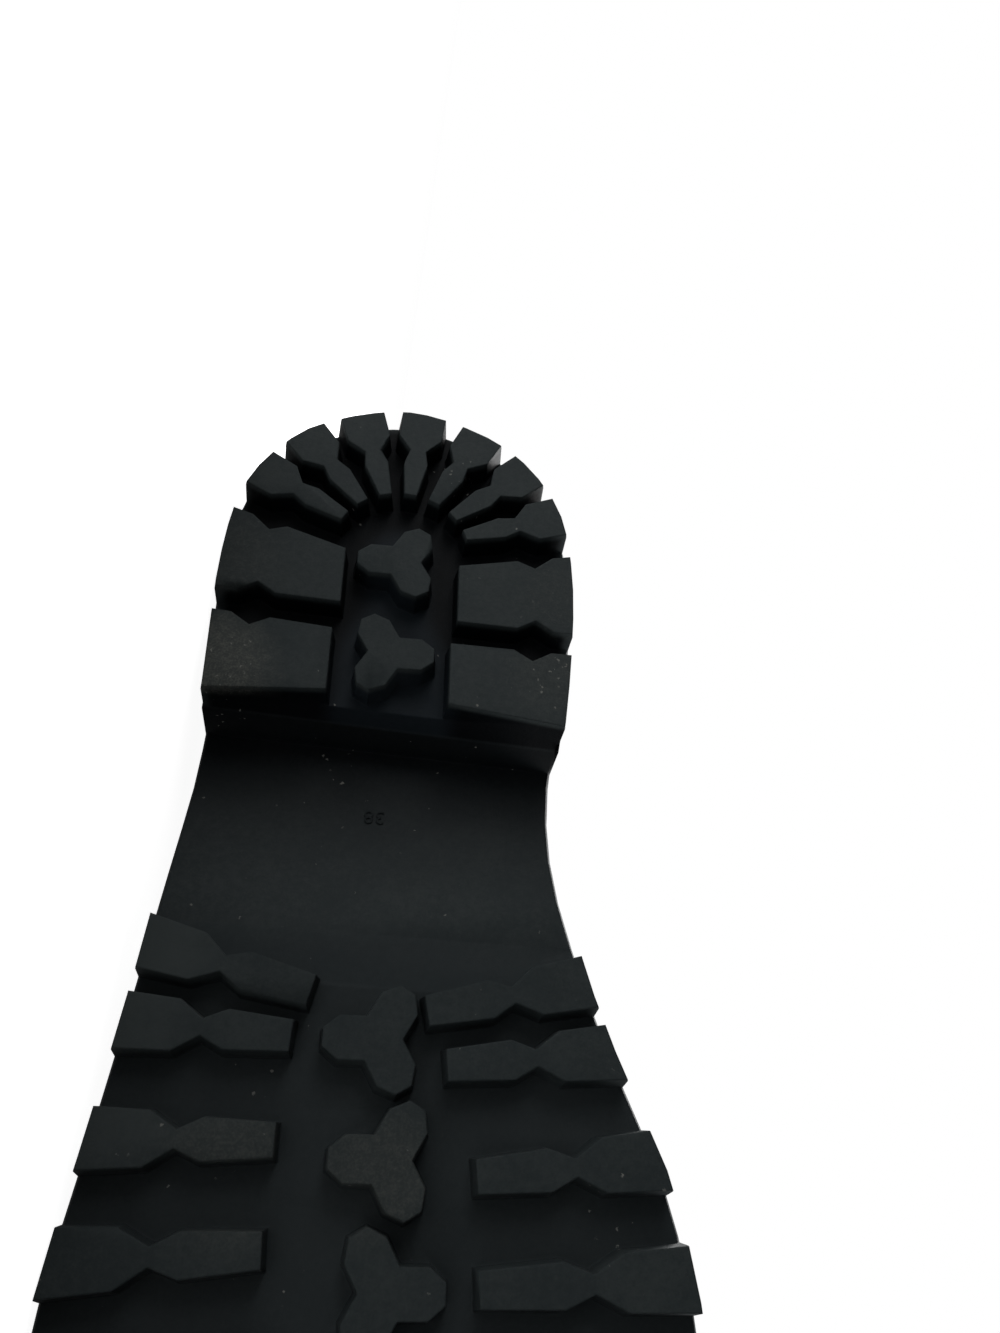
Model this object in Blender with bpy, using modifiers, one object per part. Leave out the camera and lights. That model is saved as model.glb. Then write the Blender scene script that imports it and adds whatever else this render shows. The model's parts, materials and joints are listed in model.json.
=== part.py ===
"""Left knee-high boot with a deep lug sole, lying on its outer side.

The boot's own frame, used for every size below, has X to the inner side of the foot, Y to the toe and
Z up from the tread, with Y = 0 at the back of the heel. Sizes are in millimetres. At the end the whole
boot is turned onto its outer side, where the edge of the sole and the side of the shaft meet the floor.
"""
import math

import bmesh
import bpy
import numpy as np
from mathutils import Matrix, Vector

MM = 0.001
SHARP_ANGLE = 35.0

# Sole
SOLE_LENGTH = 285.0
BALL_WIDTH = 105.5
HEEL_WIDTH = 77.2
HEEL_HEIGHT = 38.0
FOREFOOT_HEIGHT = 21.0
TOE_SPRING = 11.0
WAIST_RISE = 16.0
BREAST_SLANT = 0.059
HEEL_LUG_DEPTH = 6.0
FORE_LUG_DEPTH = 5.2
LUG_DRAFT = 0.10
EDGE_ROUND = 0.9
WELT_HEIGHT = 4.2
WELT_GROOVE = 1.4
GROOVE_TOP = 0.7
GROOVE_BOTTOM = 1.5
GROOVE_BEVEL = 0.7
PLATE_ROUND = 0.6
PLATE_STEP = 1.2
SOLE_STATIONS = 46

# Lugs
HEEL_FAN_COUNT = 7
HEEL_FAN_CENTRE = 0.512 * HEEL_WIDTH
HEEL_FAN_CORE = 0.192 * HEEL_WIDTH
HEEL_FAN_FIRST = -60.3
HEEL_FAN_PITCH = 21.8
FAN_LUG_WIDTH = 10.8
SIDE_LUG_WIDTH = 10.0
STUD_REACH = 9.5
STUD_WIDTH = 7.3
STUD_TIP_SHARE = 0.42
TOE_LUG_COUNT = 13
TOE_CORE_SIDE = 0.199 * BALL_WIDTH
TOE_CORE_TIP = 0.123 * BALL_WIDTH
TOE_LUG_SHARE = 0.66
TOE_FAN_LEAD = 0.55
LUG_OVERRUN = 6.0
LUG_EXTRA = 4.0
STUD_BEVEL = 2.7
TREAD_EDGE = 0.4
TREAD_INSET = 0.2
TREAD_ROUND = 1.1

# Upper
INSTEP_HEIGHT = 119.0
WALL = 2.0
LEDGE = 5.0
GAP = 0.3
OVERLAY_GAP = 0.5
COLLAR_FRONT = 428.0
COLLAR_BACK = 415.0
OVERLAY_WALL = 1.3
LARGEST_CORNER = 1.8
COUNTER_HEIGHT = 104.0
COUNTER_REACH = 0.35 * SOLE_LENGTH
COUNTER_FALL = 1.6
STRIP_WIDTH = 22.0
STRIP_REACH = 45.0
BAND_HEIGHT = 26.0
CUT_MARGIN = 20.0
CUT_BACK = -60.0
CUT_FRONT = 200.0
INSOLE_THICKNESS = 3.2
INSOLE_ROUND = 0.6
RAND_HEIGHT = 6.0
HEM = 4.0
SHAFT_RISE = 4.0
HEEL_FULLNESS = 0.324
SECTION_HALF_COLUMNS = 10
SIDE_FACING = -0.7
COLUMN_SPREAD = 1.12

# Outline of the sole: share of its length, share of a width to the outer side, to the inner side, and
# which width these follow.
OUTLINE = (
    (0.020, 0.252, 0.252, HEEL_WIDTH),
    (0.055, 0.392, 0.396, HEEL_WIDTH),
    (0.100, 0.472, 0.477, HEEL_WIDTH),
    (0.160, 0.497, 0.500, HEEL_WIDTH),
    (0.215, 0.495, 0.493, HEEL_WIDTH),
    (0.270, 0.490, 0.474, HEEL_WIDTH),
    (0.325, 0.493, 0.447, HEEL_WIDTH),
    (0.385, 0.369, 0.328, BALL_WIDTH),
    (0.445, 0.382, 0.362, BALL_WIDTH),
    (0.510, 0.402, 0.424, BALL_WIDTH),
    (0.570, 0.423, 0.494, BALL_WIDTH),
    (0.635, 0.446, 0.532, BALL_WIDTH),
    (0.705, 0.452, 0.540, BALL_WIDTH),
    (0.775, 0.434, 0.512, BALL_WIDTH),
    (0.845, 0.376, 0.450, BALL_WIDTH),
    (0.910, 0.286, 0.366, BALL_WIDTH),
    (0.965, 0.150, 0.240, BALL_WIDTH),
)
TOE_TIP_SHARE = 0.057

# Drop of the sole's top from the heel seat to the forefoot: share of length, share of the drop.
TOP_DROP = (
    (0.00, 0.00),
    (0.12, 0.04),
    (0.26, 0.20),
    (0.38, 0.52),
    (0.50, 0.83),
    (0.60, 0.97),
    (0.70, 1.00),
    (1.00, 1.00),
)

# Underside of the plate in front of the breast: share of length, share of the way down from the waist
# to the forefoot plate.
WAIST_FALL = (
    (0.285, 0.00),
    (0.330, 0.22),
    (0.380, 0.66),
    (0.425, 0.94),
    (0.460, 1.00),
)
SPRING_START = 0.70
BREAST_PLACE = 0.283
BREAST_RUN = 1.2

# One radial lug: share of the run from its inner end, share of its width.
BOTTLE = (
    (0.00, 0.125),
    (0.37, 0.245),
    (0.53, 0.165),
    (0.69, 0.455),
    (1.00, 0.500),
)

# One bow-tie lug across the forefoot.
BOW_TIE = (
    (0.00, 0.26),
    (0.38, 0.33),
    (0.52, 0.14),
    (0.67, 0.42),
    (1.00, 0.50),
)

# Bow-tie lugs: side (-1 outer, 1 inner), share of length at the outer and inner end, share of the ball
# width at the inner end.
SIDE_LUGS = (
    (-1, 0.4460, 0.4720, 0.098),
    (-1, 0.4930, 0.4990, 0.123),
    (-1, 0.5570, 0.5560, 0.132),
    (-1, 0.6180, 0.6110, 0.134),
    (-1, 0.6790, 0.6660, 0.132),
    (1, 0.4600, 0.4820, 0.095),
    (1, 0.5020, 0.5130, 0.131),
    (1, 0.5620, 0.5730, 0.183),
    (1, 0.6230, 0.6290, 0.190),
    (1, 0.6840, 0.6840, 0.190),
)

# Block lugs of the heel: side, shares of length at outer back, inner back, inner front and outer front,
# share of the heel width at the inner edge, notch in the back edge, notch in the front edge.
BLOCK_LUGS = (
    (-1, 0.1080, 0.1440, 0.1920, 0.1860, 0.155, True, True),
    (-1, 0.2050, 0.2150, 0.2655, 0.2715, 0.170, True, False),
    (1, 0.1290, 0.1510, 0.2010, 0.2050, 0.168, True, True),
    (1, 0.2230, 0.2205, 0.2700, 0.2850, 0.152, True, False),
)
NOTCH_PLACE = 0.54
NOTCH_WIDTH = 8.0
NOTCH_DEPTH = 2.4

# Three-armed studs down the middle: share of length, share of the ball width off the middle, direction
# of the first arm in degrees.
STUDS = (
    (0.1510, 0.003, 180.0),
    (0.2320, -0.011, 0.0),
    (0.4990, 0.017, 180.0),
    (0.5650, 0.041, 180.0),
    (0.6310, 0.050, 0.0),
    (0.6970, 0.057, 180.0),
    (0.7650, 0.057, 0.0),
    (0.8330, 0.057, 180.0),
)

# Foot sections: share of length where the section stands on the sole, share of length and share of the
# instep's height at its ridge, fullness to the outer and inner side beyond the sole's edge (shares of
# the ball width), sideways place of the ridge, squareness over the ridge and round the heel.
FOOT_SECTIONS = (
    (1.0000, 0.9825, 0.050, 0.000, 0.000, 0.057, 2.0, 2.0),
    (0.9770, 0.9800, 0.126, 0.020, 0.020, 0.057, 2.1, 2.0),
    (0.9600, 0.9690, 0.193, 0.030, 0.030, 0.057, 2.2, 2.0),
    (0.9280, 0.9430, 0.252, 0.040, 0.040, 0.057, 2.3, 2.0),
    (0.8750, 0.8990, 0.311, 0.050, 0.050, 0.057, 2.3, 2.0),
    (0.8080, 0.8400, 0.366, 0.055, 0.055, 0.057, 2.3, 2.0),
    (0.7350, 0.7780, 0.420, 0.060, 0.060, 0.057, 2.2, 2.0),
    (0.6580, 0.7150, 0.492, 0.065, 0.065, 0.055, 2.1, 2.0),
    (0.5750, 0.6540, 0.571, 0.075, 0.075, 0.050, 2.0, 2.0),
    (0.4850, 0.5980, 0.647, 0.090, 0.095, 0.042, 2.0, 2.0),
    (0.3930, 0.5480, 0.706, 0.097, 0.125, 0.033, 2.0, 2.0),
    (0.3000, 0.5060, 0.756, 0.095, 0.135, 0.025, 2.0, 2.1),
    (0.2050, 0.4720, 0.803, 0.095, 0.105, 0.018, 2.0, 2.2),
    (0.1250, 0.4470, 0.857, 0.110, 0.110, 0.012, 2.0, 2.35),
    (0.0680, 0.4300, 0.916, 0.195, 0.195, 0.007, 2.0, 2.45),
    (0.0360, 0.4190, 0.966, 0.272, 0.272, 0.004, 2.0, 2.5),
    (0.0225, 0.4130, 1.000, 0.314, 0.314, 0.001, 2.0, 2.5),
)

# Leg sections: height of the back, place of the back, height of the front, place of the front (heights
# are shares of the collar's, places are shares of the sole's length), half widths to the outer and
# inner side (shares of the ball width), squareness at the shin and at the back.
LEG_SECTIONS = (
    (0.155, 0.010, 0.392, 0.404, 0.328, 0.328, 2.0, 2.45),
    (0.205, 0.008, 0.418, 0.399, 0.336, 0.336, 2.0, 2.35),
    (0.252, 0.018, 0.449, 0.396, 0.345, 0.345, 2.0, 2.2),
    (0.325, 0.030, 0.492, 0.394, 0.360, 0.360, 2.0, 2.1),
    (0.402, 0.030, 0.542, 0.394, 0.385, 0.385, 2.0, 2.1),
    (0.495, 0.016, 0.602, 0.397, 0.420, 0.420, 2.05, 2.1),
    (0.605, -0.004, 0.680, 0.404, 0.455, 0.455, 2.1, 2.1),
    (0.725, -0.018, 0.772, 0.414, 0.478, 0.478, 2.15, 2.15),
    (0.860, -0.022, 0.880, 0.426, 0.490, 0.490, 2.2, 2.2),
    (1.000, -0.018, 1.000, 0.440, 0.495, 0.495, 2.2, 2.2),
)

# Finishes: linear colour, roughness.
FINISHES = {
    "outsole": ((0.019, 0.023, 0.024), 0.62),
    "insole": ((0.05, 0.045, 0.04), 0.85),
    "upper": ((0.012, 0.012, 0.013), 0.42),
    "heel_counter": ((0.012, 0.012, 0.013), 0.40),
    "back_strip": ((0.012, 0.012, 0.013), 0.40),
    "collar_band": ((0.013, 0.013, 0.014), 0.42),
}


def curve_through(points, steps, closed=False):
    """Smooth curve through rows of numbers, each stretch cut into equal steps."""
    rows = np.asarray(points, dtype=float)
    count = len(rows)
    out = []
    for i in range(count if closed else count - 1):
        if closed:
            a, b, c, d = (rows[(i + k) % count] for k in (-1, 0, 1, 2))
        else:
            b, c = rows[i], rows[i + 1]
            a = rows[i - 1] if i > 0 else 2 * b - c
            d = rows[i + 2] if i + 2 < count else 2 * c - b
        for step in range(steps):
            t = step / steps
            out.append(0.5 * (2 * b + (c - a) * t + (2 * a - 5 * b + 4 * c - d) * t ** 2
                              + (3 * b - a - 3 * c + d) * t ** 3))
    if not closed:
        out.append(rows[-1])
    return np.array(out)


def share_curve(table, share):
    """Value of a two-column table at a share of length, smooth between its rows."""
    dense = curve_through(table, 8)
    return float(np.interp(share, dense[:, 0], dense[:, 1]))


class Outline:
    """The sole's outline moved inwards by an inset, as a curve on each side of the foot."""

    def __init__(self, inset):
        inner = [(row[2] * row[3], row[0] * SOLE_LENGTH) for row in OUTLINE]
        outer = [(-row[1] * row[3], row[0] * SOLE_LENGTH) for row in reversed(OUTLINE)]
        tip = (TOE_TIP_SHARE * BALL_WIDTH, SOLE_LENGTH)
        loop = curve_through([(0.0, 0.0)] + inner + [tip] + outer, 10, closed=True)
        ahead = np.roll(loop, -1, axis=0) - np.roll(loop, 1, axis=0)
        ahead /= np.linalg.norm(ahead, axis=1)[:, None]
        loop = loop + inset * np.column_stack((-ahead[:, 1], ahead[:, 0]))
        self.loop = loop
        tip_index = (len(inner) + 1) * 10
        self.inner = loop[:tip_index + 1]
        self.outer = np.vstack((loop[tip_index:], loop[:1]))[::-1]
        self.back = self.inner[0]
        self.tip = self.inner[-1]

    def x(self, y, side):
        """Sideways place of the outline at y, on side -1 (outer) or 1 (inner)."""
        curve = self.inner if side > 0 else self.outer
        return float(np.interp(y, curve[:, 1], curve[:, 0]))

    def edge_distance(self, centre, direction):
        """Distance from a point to the outline along a direction."""
        rel = self.loop - np.array(centre)
        length = np.linalg.norm(rel, axis=1)
        return float(length[np.argmax(rel @ np.array(direction) / length)])


def spring(y):
    """Height of the tread above the floor: flat, then rising to the toe."""
    start = SPRING_START * SOLE_LENGTH
    ahead = max(0.0, y - start) / (SOLE_LENGTH - start)
    return TOE_SPRING * ahead ** 2


def sole_top(y):
    """Height of the sole's upper face, on which the foot stands."""
    drop = share_curve(TOP_DROP, min(1.0, max(0.0, y / SOLE_LENGTH)))
    return HEEL_HEIGHT - (HEEL_HEIGHT - FOREFOOT_HEIGHT) * drop + spring(y)


def plate_under(y, x=0.0):
    """Height of the plate between the lugs: heel, breast, waist and forefoot."""
    along = y - station_slant(y / SOLE_LENGTH) * x
    breast = BREAST_PLACE * SOLE_LENGTH
    if along <= breast:
        return HEEL_LUG_DEPTH
    if along < breast + BREAST_RUN:
        return HEEL_LUG_DEPTH + (WAIST_RISE - HEEL_LUG_DEPTH) * (along - breast) / BREAST_RUN
    fall = share_curve(WAIST_FALL, min(WAIST_FALL[-1][0], max(WAIST_FALL[0][0], along / SOLE_LENGTH)))
    return WAIST_RISE - (WAIST_RISE - FORE_LUG_DEPTH) * fall + spring(y)


def sole_stations():
    """Shares of length at which the sole is cut, close together at both ends and at the breast."""
    even = [0.5 - 0.5 * math.cos(math.pi * k / SOLE_STATIONS) for k in range(1, SOLE_STATIONS)]
    breast = [BREAST_PLACE, BREAST_PLACE + BREAST_RUN / SOLE_LENGTH]
    kept = [s for s in even if min(abs(s - b) for b in breast) > 0.008]
    return sorted(kept + breast)


def station_slant(share):
    """Slant of a station's line, full at the breast and none towards heel and toe."""
    return BREAST_SLANT * max(0.0, 1.0 - abs(share - BREAST_PLACE) / BREAST_PLACE)


def mesh_object(name, bm, collection):
    """Object from a bmesh in millimetres of the boot's frame."""
    bmesh.ops.remove_doubles(bm, verts=bm.verts, dist=0.0005)
    bmesh.ops.recalc_face_normals(bm, faces=bm.faces)
    bmesh.ops.scale(bm, vec=(MM, MM, MM), verts=bm.verts)
    mesh = bpy.data.meshes.new(name)
    bm.to_mesh(mesh)
    bm.free()
    obj = bpy.data.objects.new(name, mesh)
    collection.objects.link(obj)
    return obj


def ring_solid(name, rings, collection):
    """Closed solid whose rings follow the sole's outline: each has an inset and a height rule."""
    bm = bmesh.new()
    shares = sole_stations()
    loops = []
    for inset, height in rings:
        outline = Outline(inset)
        length = outline.tip[1] - outline.back[1]
        sides = {-1: [], 1: []}
        for share in shares:
            for side in sides:
                y = outline.back[1] + share * length
                for _ in range(4):
                    x = outline.x(y, side)
                    y = outline.back[1] + share * length + station_slant(share) * x
                sides[side].append(bm.verts.new((x, y, height(y, x))))
        ends = [bm.verts.new((p[0], p[1], height(p[1], p[0]))) for p in (outline.back, outline.tip)]
        loops.append([ends[0]] + sides[1] + [ends[1]] + sides[-1][::-1])
    size = len(loops[0])
    for low, high in zip(loops, loops[1:]):
        for i in range(size):
            j = (i + 1) % size
            bm.faces.new((low[i], low[j], high[j], high[i]))
    for loop in (loops[0], loops[-1]):
        half = size // 2
        for i in range(half):
            strip = [loop[i], loop[i + 1], loop[(size - i - 1) % size], loop[(size - i) % size]]
            strip = [v for k, v in enumerate(strip) if v not in strip[:k]]
            bm.faces.new(strip)
    return mesh_object(name, bm, collection)


def offset_polygon(points, distance):
    """Polygon moved outwards by a distance, corner by corner."""
    rows = np.array(points, dtype=float)
    area = 0.5 * np.sum(rows[:, 0] * np.roll(rows[:, 1], -1) - np.roll(rows[:, 0], -1) * rows[:, 1])
    before = rows - np.roll(rows, 1, axis=0)
    after = np.roll(rows, -1, axis=0) - rows
    turn = 1.0 if area > 0 else -1.0
    out = []
    for i, point in enumerate(rows):
        n1 = turn * np.array((before[i][1], -before[i][0])) / np.linalg.norm(before[i])
        n2 = turn * np.array((after[i][1], -after[i][0])) / np.linalg.norm(after[i])
        middle = n1 + n2
        out.append(point + distance * middle / max(0.6, float(middle @ n1)))
    return out


def add_lug(bm, outline):
    """Prism of one lug, with its walls drafted, from below the tread into the plate."""
    centre = np.mean(np.array(outline), axis=0)
    tread = spring(centre[1])
    rings = []
    for height in (-LUG_EXTRA, max(HEEL_LUG_DEPTH, FORE_LUG_DEPTH) + LUG_EXTRA):
        ring = offset_polygon(outline, LUG_DRAFT * height)
        rings.append([bm.verts.new((p[0], p[1], tread + height)) for p in ring])
    low, high = rings
    size = len(low)
    for i in range(size):
        j = (i + 1) % size
        bm.faces.new((low[i], low[j], high[j], high[i]))
    bm.faces.new(low[::-1])
    bm.faces.new(high)


def profile_lug(inner, outer, profile, width):
    """Outline of a lug that runs from an inner to an outer end, with the widths of a profile."""
    inner, outer = np.array(inner), np.array(outer)
    run = outer - inner
    length = np.linalg.norm(run)
    along = run / length
    across = np.array((-along[1], along[0]))
    rows = list(profile[:-1]) + [(1.0 + LUG_OVERRUN / length, profile[-1][1])]
    left = [inner + share * run + half * width * across for share, half in rows]
    right = [inner + share * run - half * width * across for share, half in rows]
    return left + right[::-1]


def heel_fan(outline):
    """The radial lugs round the back of the heel."""
    centre = np.array((0.0, HEEL_FAN_CENTRE))
    for i in range(HEEL_FAN_COUNT):
        angle = math.radians(HEEL_FAN_FIRST + i * HEEL_FAN_PITCH)
        direction = np.array((math.sin(angle), -math.cos(angle)))
        reach = outline.edge_distance(centre, direction)
        inner, outer = centre + HEEL_FAN_CORE * direction, centre + reach * direction
        yield profile_lug(inner, outer, BOTTLE, FAN_LUG_WIDTH)


def toe_fan(outline):
    """The lugs round the toe, spaced evenly along the outline between the last side lugs."""
    rows = outline.loop
    middle = TOE_TIP_SHARE * BALL_WIDTH
    start = SIDE_LUGS[4][1] * SOLE_LENGTH + 0.5 * SIDE_LUG_WIDTH
    ahead = rows[rows[:, 1] > start]
    gone = np.concatenate(([0.0], np.cumsum(np.linalg.norm(np.diff(ahead, axis=0), axis=1))))
    pitch = gone[-1] / TOE_LUG_COUNT
    for i in range(TOE_LUG_COUNT):
        at = (i + 0.5) * pitch
        edge = np.array((np.interp(at, gone, ahead[:, 0]), np.interp(at, gone, ahead[:, 1])))
        share = (edge[1] - start) / (SOLE_LENGTH - start)
        centre = np.array((middle, start + TOE_FAN_LEAD * (edge[1] - start)))
        core = TOE_CORE_SIDE + (TOE_CORE_TIP - TOE_CORE_SIDE) * share
        direction = (edge - centre) / np.linalg.norm(edge - centre)
        yield profile_lug(centre + core * direction, edge, BOTTLE, TOE_LUG_SHARE * pitch)


def side_lugs(outline):
    """The bow-tie lugs of the forefoot, outer side and inner side."""
    for side, outer_share, inner_share, inner_x in SIDE_LUGS:
        y = outer_share * SOLE_LENGTH
        outer = (outline.x(y, side), y)
        inner = (side * inner_x * BALL_WIDTH, inner_share * SOLE_LENGTH)
        yield profile_lug(inner, outer, BOW_TIE, SIDE_LUG_WIDTH)


def block_lugs(outline):
    """The four large lugs of the heel, with V notches in the edges that face a neighbour."""
    for side, back_out, back_in, front_in, front_out, inner_share, notch_back, notch_front in BLOCK_LUGS:
        points = []
        inner_x = side * inner_share * HEEL_WIDTH
        for out_share, in_share, notched, sign in ((back_out, back_in, notch_back, 1),
                                                   (front_out, front_in, notch_front, -1)):
            y = out_share * SOLE_LENGTH
            outer = np.array((outline.x(y, side) + side * LUG_OVERRUN, y))
            inner = np.array((inner_x, in_share * SOLE_LENGTH))
            edge = [outer]
            if notched:
                run = (outer - inner) / np.linalg.norm(outer - inner)
                middle = inner + NOTCH_PLACE * (outer - inner)
                edge.append(middle + 0.5 * NOTCH_WIDTH * run)
                edge.append(middle + np.array((0.0, sign * NOTCH_DEPTH)))
                edge.append(middle - 0.5 * NOTCH_WIDTH * run)
            edge.append(inner)
            points.append(edge)
        yield points[0] + points[1][::-1]


def studs():
    """The three-armed studs down the middle of heel and forefoot."""
    half = 0.5 * STUD_WIDTH
    for along, off, first in STUDS:
        centre = np.array((off * BALL_WIDTH, along * SOLE_LENGTH))
        points = []
        for arm in range(3):
            angle = math.radians(first + 120.0 * arm)
            out = np.array((math.cos(angle), math.sin(angle)))
            across = np.array((-out[1], out[0]))
            points.append(centre + (half / math.sin(math.radians(60.0))) * np.array(
                (math.cos(angle - math.radians(60.0)), math.sin(angle - math.radians(60.0)))))
            points.append(centre + (STUD_REACH - STUD_BEVEL) * out - half * across)
            points.append(centre + STUD_REACH * out - STUD_TIP_SHARE * half * across)
            points.append(centre + STUD_REACH * out + STUD_TIP_SHARE * half * across)
            points.append(centre + (STUD_REACH - STUD_BEVEL) * out + half * across)
        yield points


def tidy_lug(points):
    """Lug outline with its corners in anticlockwise order."""
    rows = np.array(points)
    area = np.sum(rows[:, 0] * np.roll(rows[:, 1], -1) - np.roll(rows[:, 0], -1) * rows[:, 1])
    return points if area > 0 else points[::-1]


def add_boolean(obj, cutter, operation, solver="EXACT"):
    """Live boolean; the thin folded wall of the upper needs the manifold solver."""
    boolean = obj.modifiers.new(operation.lower(), "BOOLEAN")
    boolean.operation = operation
    boolean.solver = solver
    boolean.object = cutter


def make_outsole(parts, cutters):
    """Moulded sole: plate and heel with their side steps, joined to every lug."""
    plate = ring_solid("outsole", (
        (PLATE_ROUND, plate_under),
        (0.0, lambda y, x: plate_under(y, x) + PLATE_STEP),
        (0.0, lambda y, x: sole_top(y) - WELT_HEIGHT - GROOVE_BOTTOM - GROOVE_BEVEL),
        (WELT_GROOVE, lambda y, x: sole_top(y) - WELT_HEIGHT - GROOVE_BOTTOM),
        (WELT_GROOVE, lambda y, x: sole_top(y) - WELT_HEIGHT - GROOVE_TOP),
        (0.0, lambda y, x: sole_top(y) - WELT_HEIGHT),
        (0.0, lambda y, x: sole_top(y) - EDGE_ROUND),
        (EDGE_ROUND, lambda y, x: sole_top(y)),
    ), parts)
    slab = ring_solid("tread_room", (
        (TREAD_EDGE, lambda y, x: spring(y)),
        (TREAD_INSET, lambda y, x: spring(y) + TREAD_ROUND),
        (TREAD_INSET, lambda y, x: plate_under(y, x) + TREAD_ROUND),
    ), cutters)
    bm = bmesh.new()
    outline = Outline(0.0)
    for group in (heel_fan(outline), toe_fan(outline), side_lugs(outline), block_lugs(outline), studs()):
        for points in group:
            add_lug(bm, tidy_lug(points))
    lugs = mesh_object("tread_lugs", bm, cutters)
    add_boolean(lugs, slab, "INTERSECT")
    add_boolean(plate, lugs, "UNION")
    return plate


def ridge_rows():
    """Foot and leg sections with smooth steps between the rows of their tables."""
    feet = []
    feather = Outline(LEDGE)
    for row in curve_through(FOOT_SECTIONS, 2):
        base = min(max(row[0] * SOLE_LENGTH, feather.back[1]), feather.tip[1])
        ridge = row[5] * BALL_WIDTH
        reach = [max(0.0, ridge - feather.x(base, -1)), max(0.0, feather.x(base, 1) - ridge)]
        front = (row[1] * SOLE_LENGTH, sole_top(row[1] * SOLE_LENGTH) + row[2] * INSTEP_HEIGHT)
        if base == feather.tip[1]:
            if feet:
                continue
            front = (base, sole_top(base) + RAND_HEIGHT)
        half = [math.hypot(reach[k], row[3 + k] * BALL_WIDTH) for k in (0, 1)]
        feet.append(((base, sole_top(base) + RAND_HEIGHT), front, half, reach, ridge, row[6:]))
    legs = []
    first = FOOT_SECTIONS[-1]
    start = ((sole_top(feather.back[1]) + RAND_HEIGHT) / COLLAR_BACK, feather.back[1] / SOLE_LENGTH,
             (sole_top(first[1] * SOLE_LENGTH) + INSTEP_HEIGHT + SHAFT_RISE) / COLLAR_FRONT,
             first[1] - SHAFT_RISE / COLLAR_FRONT / 3.0,
             HEEL_FULLNESS, HEEL_FULLNESS, first[6], first[7])
    for row in curve_through((start,) + LEG_SECTIONS, 2):
        back = (row[1] * SOLE_LENGTH, row[0] * COLLAR_BACK)
        front = (row[3] * SOLE_LENGTH, row[2] * COLLAR_FRONT)
        half = [row[4] * BALL_WIDTH, row[5] * BALL_WIDTH]
        legs.append((back, front, half, [0.0, 0.0], 0.0, row[6:]))
    return feet, legs


def section_points(section):
    """Points of one section, from the outer side over the ridge to the inner side."""
    (back_y, back_z), (front_y, front_z), half, reach, ridge, square = section
    points = []
    for side in (-1, 1):
        width, foot = half[(side + 1) // 2], reach[(side + 1) // 2]
        start = math.asin(min(1.0, (foot / width) ** (0.5 * square[1]))) if width > 0 else 0.5 * math.pi
        low = -abs(math.cos(start)) ** (2.0 / square[1])
        row = []
        for k in range(SECTION_HALF_COLUMNS + 1):
            angle = start + (math.pi - start) * (k / SECTION_HALF_COLUMNS) ** COLUMN_SPREAD
            power = 2.0 / square[0 if angle > 0.5 * math.pi else 1]
            out = max(0.0, math.sin(angle)) ** power
            lift = -math.copysign(abs(math.cos(angle)) ** power, math.cos(angle))
            rise = (lift - low) / (1.0 - low)
            row.append((ridge + side * width * out, back_y + (front_y - back_y) * rise,
                        back_z + (front_z - back_z) * rise))
        points.append(row)
    outer, inner = points
    return outer + inner[::-1][1:]


def upper_surface(name, collection):
    """Outer face of the upper as an open sheet: foot sections, then leg sections, then the collar."""
    feet, legs = ridge_rows()
    bm = bmesh.new()
    grid = [[bm.verts.new(p) for p in section_points(s)] for s in feet + legs]
    hems = []
    for row in grid[:len(feet) + 1]:
        hems.append([bm.verts.new(row[k].co - Vector((0.0, 0.0, RAND_HEIGHT + HEM))) for k in (0, -1)])
    for low, high in zip(grid, grid[1:]):
        for i in range(len(low) - 1):
            bm.faces.new((low[i], low[i + 1], high[i + 1], high[i]))
    for j, (low, high) in enumerate(zip(hems, hems[1:])):
        bm.faces.new((low[0], grid[j][0], grid[j + 1][0], high[0]))
        bm.faces.new((low[1], high[1], grid[j + 1][-1], grid[j][-1]))
    bmesh.ops.remove_doubles(bm, verts=bm.verts, dist=0.02)
    bmesh.ops.triangulate(bm, faces=bm.faces, quad_method="FIXED")
    obj = mesh_object(name, bm, collection)
    point_outwards(obj.data)
    return obj


def point_outwards(mesh):
    """Turn the sheet so that its faces point away from the middle of the leg."""
    total = sum(p.normal.x * p.center.x * p.area for p in mesh.polygons)
    if total < 0:
        mesh.flip_normals()


def add_wall(obj, thickness, offset):
    """Wall on an open sheet: offset -1 grows it inwards, 1 outwards."""
    solid = obj.modifiers.new("wall", "SOLIDIFY")
    solid.thickness = thickness * MM
    solid.offset = offset
    solid.use_quality_normals = True


def sole_room(cutters):
    """Everything below the upper's lower edge: the sole with its clearance."""
    return ring_solid("sole_room", (
        (-CUT_MARGIN, lambda y, x: -CUT_MARGIN),
        (-CUT_MARGIN, lambda y, x: sole_top(y) + GAP),
    ), cutters)


def make_upper(parts, room):
    """Hollow foot and shaft in one leather shell, open at the collar and underneath."""
    upper = upper_surface("upper", parts)
    add_wall(upper, WALL, -1.0)
    add_boolean(upper, room, "DIFFERENCE", "MANIFOLD")
    return upper


def side_prism(name, points, half_width, cutters):
    """Cutter with a side-view outline (Y, Z) run across the boot."""
    bm = bmesh.new()
    rings = [[bm.verts.new((x, p[0], p[1])) for p in points] for x in (-half_width, half_width)]
    size = len(points)
    for i in range(size):
        j = (i + 1) % size
        bm.faces.new((rings[0][i], rings[0][j], rings[1][j], rings[1][i]))
    bm.faces.new(rings[0][::-1])
    bm.faces.new(rings[1])
    return mesh_object(name, bm, cutters)


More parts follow.
